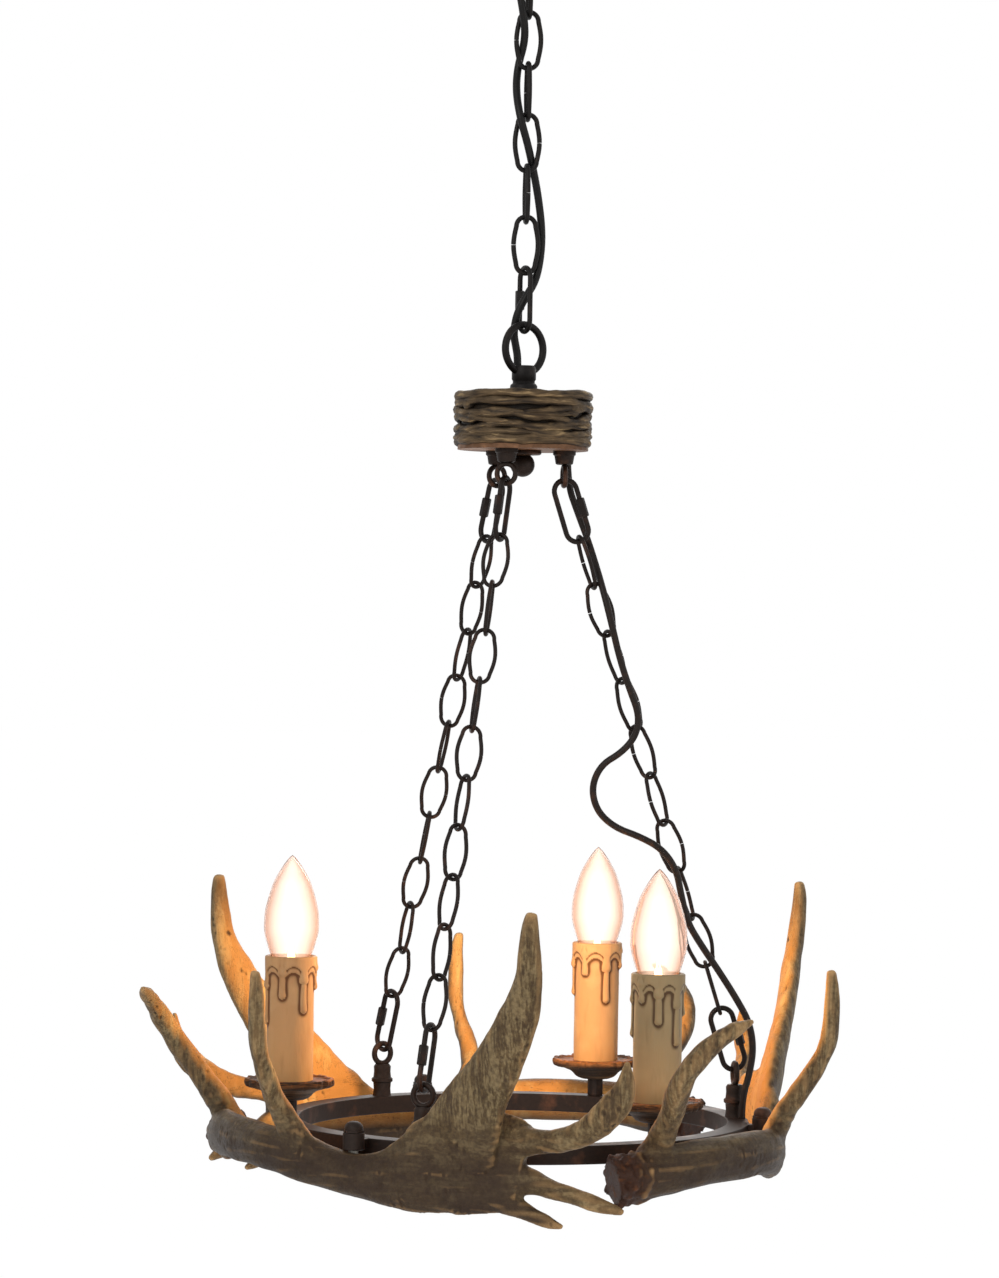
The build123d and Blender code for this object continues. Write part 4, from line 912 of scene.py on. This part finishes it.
FORWARD_TINE = [
    (-12.0, 171.0, -8.0, 27.0, 16.0), (-13.5, 181.0, 11.5, 17.0, 14.6), (-13.3, 188.0, 21.5, 13.6, 14.0),
    (-12.8, 194.5, 31.5, 12.2, 13.2), (-12.0, 200.5, 41.5, 11.0, 12.5), (-11.5, 205.0, 51.5, 10.4, 12.0),
    (-11.3, 208.2, 62.0, 11.2, 11.8), (-11.3, 209.0, 76.0, 11.0, 11.2), (-11.4, 209.2, 88.0, 9.8, 10.2),
    (-11.8, 208.8, 102.8, 5.6, 6.0),
]
MAIN_TINE = [
    (25.0, 173.0, -18.0, 26.0, 9.0), (25.6, 173.6, -8.0, 46.0, 12.0), (26.8, 175.4, 4.0, 56.0, 14.0),
    (28.5, 180.0, 16.5, 49.0, 17.0), (31.0, 187.0, 32.5, 41.0, 16.0),
    (33.0, 194.0, 44.5, 35.5, 14.6), (35.0, 201.0, 57.0, 31.5, 13.6), (36.6, 207.5, 70.0, 28.5, 13.0),
    (38.2, 213.5, 85.0, 25.2, 12.8), (39.0, 217.3, 96.0, 21.6, 12.2), (39.5, 221.0, 109.0, 17.0, 11.6),
    (39.5, 223.0, 121.0, 14.2, 11.0), (39.5, 223.8, 134.0, 12.4, 10.0), (39.8, 223.6, 146.4, 6.6, 6.0),
]
BLADE_TINE = [
    (36.0, 178.0, 6.5, 26.0, 13.0), (40.5, 184.5, 6.8, 18.0, 12.6), (44.1, 190.0, 7.5, 15.0, 12.0),
    (47.8, 199.5, 11.5, 16.0, 11.2), (50.3, 209.0, 17.5, 17.5, 10.6), (52.0, 219.5, 26.5, 19.4, 10.4),
    (53.6, 224.2, 36.0, 18.2, 9.4), (54.3, 227.0, 47.0, 12.0, 8.0), (54.5, 227.6, 60.0, 4.0, 4.2),
]
LOW_TINE = [
    (36.0, 178.0, -15.0, 26.0, 13.0), (41.0, 181.5, -17.6, 17.0, 12.2), (44.5, 184.6, -21.2, 12.6, 11.4),
    (49.4, 190.5, -26.0, 10.6, 10.0), (54.1, 196.5, -31.0, 9.4, 9.0), (57.0, 200.0, -34.2, 4.2, 4.6),
]
STUB_TINE = [
    (33.0, 176.5, -26.0, 20.0, 12.0), (38.5, 180.5, -33.2, 13.0, 10.0), (42.0, 183.2, -38.2, 10.0, 8.8),
    (44.6, 185.2, -41.6, 8.2, 7.6), (46.9, 187.0, -44.0, 3.6, 4.0),
]
LIMBS = ((BEAM, 0), (BROW_TINE, 0), (FORWARD_TINE, 0), (MAIN_TINE, 20), (BLADE_TINE, 20), (LOW_TINE, 20),
         (STUB_TINE, 20))
GRAIN = 1.15
BURR_HEADING = -63.7


def around(angle, radius, height):
    """A place at an angle about the lamp's axis."""
    return Vector((radius * cos(radians(angle)), radius * sin(radians(angle)), height))


def skin(rings, sides):
    """Faces over a row of like rings of points, closed at both ends."""
    faces = []
    for low in range(0, (rings - 1) * sides, sides):
        high = low + sides
        faces += [(low + k, low + (k + 1) % sides, high + (k + 1) % sides, high + k) for k in range(sides)]
    return [*faces, tuple(range(sides)), tuple(range((rings - 1) * sides, rings * sides))]


def limb(stations, lean, sides=28):
    """One beam or tine: oval sections on a smooth line, closed at both ends."""
    rows = smoothed(stations, 5)
    line = [around(BOLT_HEADING + row[0], row[1], RING_TOP + row[2]) for row in rows]
    points = []
    for number, (row, point) in enumerate(zip(rows, line)):
        run = (line[min(number + 1, len(line) - 1)] - line[max(number - 1, 0)]).normalized()
        across = run.cross(around(BOLT_HEADING + row[0] - lean, 1, 0)).normalized()
        through = run.cross(across)
        for k in range(sides):
            turn = 2 * pi * k / sides
            wide, thick = row[3] / 2 * cos(turn), row[4] / 2 * sin(turn)
            points.append(tuple(point + across * wide + through * thick))
    return points, skin(len(rows), sides)


antler_horn, tree, shader = new_finish("antler_horn", 0.5)
ridge = stored(tree, "ridge")
coarse = mottled(tree, 18.0, 0.5, 0.22)
middling = mottled(tree, 60.0, 0.45, 0.18)
small = mottled(tree, 230.0, 0.42, 0.2)
fibre = mottled(tree, 90.0, 0.5, 0.22, (1.0, 1.0, 0.12))
grain = grained(stored(tree, "lie", "Vector"), 150.0, 6.0, 0.62)
grain = ramp(grain, 0.3, 0.7, 0.7, 1.3)
line = {0: stored(tree, "upright"), 2: grain, 3: fibre["Height"]}
line = outlet(tree, "ShaderNodeMix", line, data_type="FLOAT")
dusk = calc("MULTIPLY", stored(tree, "shade"), ramp(coarse["Height"], 0.8, 1.15, 0.8, 1.0))
split = calc("ABSOLUTE", calc("SUBTRACT", line, 1.02))
tone = layered(
    srgb(104, 86, 58),
    (coarse["Mask"], srgb(83, 69, 45)),
    (middling["Mask"], srgb(80, 64, 43)),
    (ramp(line, 0.97, 1.14, 0.0, 0.6), srgb(146, 128, 94)),
    (ramp(line, 0.95, 0.82, 0.0, 0.6), srgb(58, 42, 28)),
    (dusk, mix(small["Mask"], srgb(51, 37, 26), srgb(26, 18, 13))),
    (calc("MULTIPLY", small["Mask"], 0.42), srgb(66, 50, 33)),
    (calc("MULTIPLY", middling["Specks"], 0.45), srgb(44, 31, 21)),
    # Painted lamplight: the bulbs' orange glow on faces turned towards the lamp's axis.
    (calc("MULTIPLY", stored(tree, "painted_lamplight"), 0.95),
     mix(fibre["Mask"], srgb(214, 148, 76), srgb(248, 198, 122))),
    (ramp(split, 0.0, 0.016, 0.6, 0.0), srgb(46, 32, 20)),
    (ramp(stored(tree, "pore"), 0.15, 0.8, 0.0, 0.85), srgb(50, 34, 20)),
    # Painted highlight on the raised ridges, and painted shade in the hollows.
    (ramp(ridge, 0.57, 0.9, 0.0, 0.8), srgb(206, 164, 112)),
    (ramp(ridge, 0.4, 0.1, 0.0, 0.75), srgb(46, 34, 23)),
    (stored(tree, "burr"), mix(small["Mask"], srgb(52, 29, 17), srgb(90, 54, 30))),
)
feed(shader, {"Base Color": tone, "Roughness": ramp(small["Mask"], 0, 1, 0.46, 0.62)})
bumped(shader, calc("ADD", small["Height"], line), 0.001, 0.7)


def grown_antler():
    """The first antler's mesh: its limbs made one under a softened skin."""
    mesh = shell("antler_limbs", [limb(stations, lean) for stations, lean in LIMBS])
    obj = placed("antler_limbs", mesh)
    union = obj.modifiers.new("one_skin", "REMESH")
    union.mode = "VOXEL"
    union.voxel_size = GRAIN * MM
    soften = obj.modifiers.new("soften", "SMOOTH")
    soften.iterations = 12
    soften.factor = 0.5
    grown = meshed(obj)
    bpy.data.objects.remove(obj)
    bpy.data.meshes.remove(mesh)
    return grown


def of_vertices(mesh, field):
    """A vector of every vertex, in rows."""
    values = np.zeros(len(mesh.vertices) * 3)
    mesh.vertices.foreach_get(field, values)
    return values.reshape(-1, 3)


def carve(mesh):
    """Moves the surface into ridges, pores and a ragged burr, and keeps masks for its colour, painted
    lamplight, highlight and shade among them.
    """
    count = len(mesh.vertices)
    place = of_vertices(mesh, "co") / MM
    facing = of_vertices(mesh, "normal")
    pore = np.zeros(count)
    push = np.zeros(count)
    heading = np.degrees(np.arctan2(place[:, 1], place[:, 0])) - BOLT_HEADING
    heading = (heading + 180) % 360 - 180
    reach = np.hypot(place[:, 0], place[:, 1])
    rise = place[:, 2] - RING_TOP
    near_burr = np.clip((-56.0 - heading) / 4.5, 0, 1) * np.clip((8 - rise) / 10, 0, 1)
    for k in range(count):
        x, y, z = place[k]
        upward = min(max((rise[k] - 8) / 16, 0), 1)
        lie = noise.noise(Vector((heading[k] * 0.085, reach[k] / 4.2, z / 4.2)))
        climb = noise.noise(Vector((x / 4.6, y / 4.6, z / 30)))
        streak = lie * (1 - upward) + climb * upward
        broad = noise.noise(Vector((x, y, z)) / 15)
        pit = max(noise.noise(Vector((x / 2.6, y / 2.6, z / 5.0)) + Vector((7, 3, 1))) - 0.28, 0) * 2.2
        knob = noise.noise(Vector((x, y, z)) / 5.2)
        pit *= min(max(noise.noise(Vector((x, y, z)) / 22 + Vector((5, 9, 2))) * 4, 0), 1)
        pore[k] = min(pit, 1)
        push[k] = -0.2 + 0.5 * streak + 0.75 * broad - 0.6 * pit
        push[k] = push[k] * (1 - near_burr[k]) + near_burr[k] * (0.9 + 4.2 * knob)
    cut_turn = radians(BOLT_HEADING + BURR_HEADING)
    cut_face = np.abs(heading - BURR_HEADING) < 0.9
    flat = cut_face & (np.abs(facing @ np.array([-sin(cut_turn), cos(cut_turn), 0])) > 0.7)
    push[flat] = -0.2
    place = place + facing * push[:, None]
    mesh.vertices.foreach_set("co", (place * MM).ravel())
    mesh.update()
    ends = np.zeros(len(mesh.edges) * 2, np.int64)
    mesh.edges.foreach_get("vertices", ends)
    first, second = ends.reshape(-1, 2).T
    degree = np.bincount(first, minlength=count) + np.bincount(second, minlength=count)

    def spread(values):
        out = np.zeros_like(values)
        np.add.at(out, first, values[second])
        np.add.at(out, second, values[first])
        return out / (degree[:, None] if values.ndim > 1 else degree)

    facing = of_vertices(mesh, "normal")
    wide = place
    for _ in range(3):
        wide = spread(wide)
    bulge = ((place - wide) * facing).sum(1)
    bulge = (bulge + spread(bulge)) / 2
    # Ridge is high on bulges and low in hollows: the finish paints a highlight above the middle and shade
    # below it.
    ridge = np.clip(0.5 + bulge * 0.9, 0, 1)
    toward = -place[:, :2] / reach[:, None]
    # Painted lamplight: faces turned towards the lamp's axis take the bulbs' orange glow, less on the low
    # beam and the high tips.
    painted_lamplight = np.clip((facing[:, :2] * toward).sum(1) * 1.35 - 0.15, 0, 1)
    painted_lamplight *= np.clip((rise + 24) / 16, 0, 1) * np.clip((150 - rise) / 50, 0.3, 1)
    shade = np.clip((22 - rise) / 34, 0, 1) * np.clip((48 - heading) / 14, 0, 1)
    masks = (("ridge", ridge), ("pore", pore), ("burr", near_burr), ("painted_lamplight", painted_lamplight), ("shade", shade),
             ("upright", np.clip((rise - 8) / 16, 0, 1)))
    for label, values in masks:
        mask = mesh.attributes.new(label, "FLOAT", "POINT")
        mask.data.foreach_set("value", values.astype(np.float32))
    mm_per_degree, drawn_out = 3.14, 0.12
    lie = np.stack([heading * mm_per_degree * drawn_out, reach, place[:, 2]], 1) * MM
    lay = mesh.attributes.new("lie", "FLOAT_VECTOR", "POINT")
    lay.data.foreach_set("vector", lie.astype(np.float32).ravel())
    return mesh


horn = carve(grown_antler())
horn.materials.clear()
horn.materials.append(antler_horn)
horn.shade_smooth()
for index, heading in enumerate(THIRDS):
    mesh = horn.copy()
    mesh.name = f"horn_{index + 1}"
    mesh.transform(Matrix.Rotation(radians(heading), 4, "Z"))
    antler = placed(f"horn_{index + 1}", mesh)
    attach(antler, "fixture")
    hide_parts(f"antler_{index + 1}")
bpy.data.meshes.remove(horn)

# ---- Top cord ----
# A 5 mm round flex. It leaves a bush in the canopy, weaves down through the top chain and ends on
# the hub's collar. The links swing, so it is laid in stretches, each bent across one joint.
TOP_ROUTE = [
    (-13.95, -6.2, -24.0), (-13.95, -6.2, -44.0), (-8.4, -7.1, -69.9), (-4.3, -7.0, -90.3),
    (-1.9, 1.7, -104.7), (-6.3, 5.8, -122.1), (-7.8, -0.3, -138.9), (-5.2, -5.6, -156.7),
    (0.0, -1.8, -171.6), (4.9, 6.0, -187.0), (8.5, 6.0, -204.9), (11.2, 5.6, -226.0),
    (10.5, 4.4, -243.0), (7.2, 2.3, -259.0), (0.4, -0.3, -269.8), (-4.9, 1.2, -280.2),
    (-6.6, 4.3, -292.6), (-4.8, 5.4, -301.0), (-3.6, 4.6, -307.6), (-3.6, 4.6, -313.8),
]
TOP_FLEX = 5.0
JOINTS = (-58.2, -90.6, -123.4, -156.2, -189.0, -221.8, -254.6, -291.9)

flex = speckled("black_flex", (0.4, 0.55), 260.0, 0.25, srgb(12, 11, 11), srgb(24, 20, 18), 0.4)


def cord_line(name, route, diameter):
    """A smooth line pulled by its route's points, as a curve."""
    curve, spline = drawn(name, "NURBS", route)
    spline.order_u = 3
    spline.use_endpoint_u = True
    spline.resolution_u = 14
    curve.bevel_depth = diameter / 2 * MM
    curve.bevel_resolution = 5
    curve.use_fill_caps = True
    return placed(name, curve)


def line_points(curve_object):
    """The places along a curve's own line."""
    thin = curve_object.data.copy()
    thin.bevel_depth = 0.0
    ghost = placed("line", thin)
    mesh = meshed(ghost)
    places = [v.co.copy() for v in mesh.vertices]
    bpy.data.objects.remove(ghost)
    bpy.data.curves.remove(thin)
    bpy.data.meshes.remove(mesh)
    return places


def tube(name, line, radius, finish, sides=18):
    """A round tube along a line, in metres."""
    points = []
    side = Vector((1, 0, 0))
    for k, place in enumerate(line):
        run = (line[min(k + 1, len(line) - 1)] - line[max(k - 1, 0)]).normalized()
        side = (side - run * side.dot(run)).normalized()
        other = run.cross(side)
        points += [tuple(place + (side * cos(2 * pi * s / sides) + other * sin(2 * pi * s / sides)) * radius)
                   for s in range(sides)]
    return placed(name, shell(name, [(points, skin(len(line), sides))], 1.0, finish, 60))


whole = cord_line("top_flex_line", TOP_ROUTE, TOP_FLEX)
run = line_points(whole)
old = whole.data
bpy.data.objects.remove(whole)
bpy.data.curves.remove(old)
cuts = [a / 2 + b / 2 for a, b in zip(JOINTS, JOINTS[1:])] + [-1000.0]
stretches = []
start = 0
for cut in cuts:
    end = next((k for k, place in enumerate(run) if place.z / MM <= cut), len(run) - 1)
    stretches.append(run[start:end + 1])
    start = end
for number, line in enumerate(stretches):
    piece = tube(f"top_flex_{number + 1}", line, TOP_FLEX / 2 * MM, flex)
    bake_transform(piece)
    if number == 0:
        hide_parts("top_cord")

# ---- Lower cord ----
# A 4.4 mm flex from the hub's plate to the ring. It weaves down the right-hand chain with one slack
# loop and ends on the ring beside the eye post.
LOWER_ROUTE = [
    (31.0, 13.0, -365.0), (31.0, 13.0, -388.0), (37.5, 11.8, -406.0), (44.0, 10.3, -423.0),
    (48.9, 4.8, -439.8), (52.3, -7.3, -456.7), (58.0, -10.6, -479.9), (63.0, -11.1, -500.3),
    (69.9, -8.9, -519.5), (76.9, -8.2, -536.8), (74.8, -7.6, -550.2), (66.1, -6.0, -560.9),
    (53.3, -2.4, -569.0), (47.5, -0.3, -583.5), (51.3, 0.0, -598.8), (62.8, -2.8, -609.2),
    (78.0, -9.0, -614.5), (92.0, -12.0, -622.0), (101.5, -13.0, -635.0), (104.8, -14.0, -652.0),
    (109.0, -14.0, -669.0), (118.0, -12.0, -683.0), (131.0, -10.0, -701.0), (143.0, -9.0, -719.0),
    (151.5, -9.0, -734.0), (154.3, -9.0, -750.0), (152.0, -9.5, -766.0), (147.0, -10.5, -782.0),
    (147.0, -10.5, -795.416),
]
brown_flex = speckled("brown_flex", (0.38, 0.55), 240.0, 0.25, srgb(24, 17, 14), srgb(52, 34, 24), 0.4)
lower = cord_line("lower_flex", LOWER_ROUTE, 4.4)
lower.data.materials.append(brown_flex)
line = line_points(lower)
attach(lower, "fixture")
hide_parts("lower_cord")

# ---- Studio ----
# A plain pale floor below, a white surround, soft lamps on both sides, one warm lamp for the lit
# bulbs, and a camera level with the middle of the chandelier, as in the photograph.


def seen(tree):
    """One for what is looked at, straight, by reflection or through glass."""
    path = node(tree, "ShaderNodeLightPath").outputs
    direct = calc("MAXIMUM", path["Is Camera Ray"], path["Is Glossy Ray"])
    return calc("MAXIMUM", direct, path["Is Transmission Ray"])


floor_paint, tree, shader = new_finish("floor_paint", 0.8)
spots = mottled(tree, 3.0, 0.5, 0.3)
feed(shader, {"Base Color": mix(spots["Mask"], (0.86, 0.86, 0.86, 1), (0.88, 0.88, 0.88, 1))})
share = calc("MULTIPLY", seen(tree), 0.97)
white = outlet(tree, "ShaderNodeEmission", {"Color": (1, 1, 1, 1), "Strength": 1.02})
shown = outlet(tree, "ShaderNodeMixShader", {0: share, 1: shader.outputs[0], 2: white})
feed(tree.nodes["Material Output"], {"Surface": shown})
ground = bpy.data.meshes.new("floor")
corners = [(-30, -30, -1.35), (30, -30, -1.35), (30, 30, -1.35), (-30, 30, -1.35)]
ground.from_pydata(corners, [], [(0, 1, 2, 3)])
ground.materials.append(floor_paint)
floor = placed("floor", ground)

world = bpy.data.worlds.new("white_surround")
bpy.context.scene.world = world
world.use_nodes = True
tree = world.node_tree
feed(tree.nodes["Background"], {"Color": (1, 1, 1, 1), "Strength": ramp(seen(tree), 0, 1, 0.4, 1.0)})

LAMP_MIDDLE = Vector((0, 0, -0.55))
for label, spot, size, power, colour in (
    ("key", (-1.7, -2.3, 0.7), 1.6, 38.0, (1.0, 0.97, 0.93)),
    ("fill", (2.1, -1.7, -0.2), 1.4, 12.0, (1.0, 0.95, 0.9)),
    ("back", (0.6, 2.4, 0.5), 1.5, 18.0, (1.0, 0.96, 0.92)),
    ("below", (0.0, -0.8, -1.3), 1.0, 5.0, (1.0, 0.9, 0.8)),
):
    lamp = bpy.data.lights.new(label, "AREA")
    lamp.size = size
    lamp.energy = power
    lamp.color = colour
    made = placed(label, lamp)
    made.location = spot
    aim = LAMP_MIDDLE - Vector(spot)
    made.rotation_euler = aim.to_track_quat("-Z", "Y").to_euler()

# One warm lamp amid the ring stands for what the lit bulbs throw on the antlers and dishes.
glow_lamp = bpy.data.lights.new("lamp_glow", "POINT")
glow_lamp.energy = 1.7
glow_lamp.shadow_soft_size = 0.03
glow_lamp.color = (1.0, 0.66, 0.36)
made = placed("lamp_glow", glow_lamp)
made.location = (0, 0, (RING_TOP + 120) * MM)
made.visible_camera = made.visible_glossy = made.visible_transmission = False

PHOTO_HEIGHT = 1278
view = bpy.data.cameras.new("camera")
view.sensor_fit = "VERTICAL"
view.sensor_height = 36.0
view.sensor_width = 36.0
view.lens = 118.65
view.shift_x = -20.75 / PHOTO_HEIGHT
view.shift_y = -14.0 / PHOTO_HEIGHT
view.clip_start = 0.1
view.clip_end = 60.0
camera = placed("camera", view)
camera.matrix_world = (
    Matrix.Translation((-0.3571, -2.6763, -0.48)) @ Matrix.Rotation(radians(-7.6), 4, "Z")
    @ Matrix.Rotation(pi / 2, 4, "X") @ Matrix.Rotation(0.0145, 4, "Z")
)
bpy.context.scene.camera = camera
bpy.context.scene.view_settings.view_transform = "Standard"
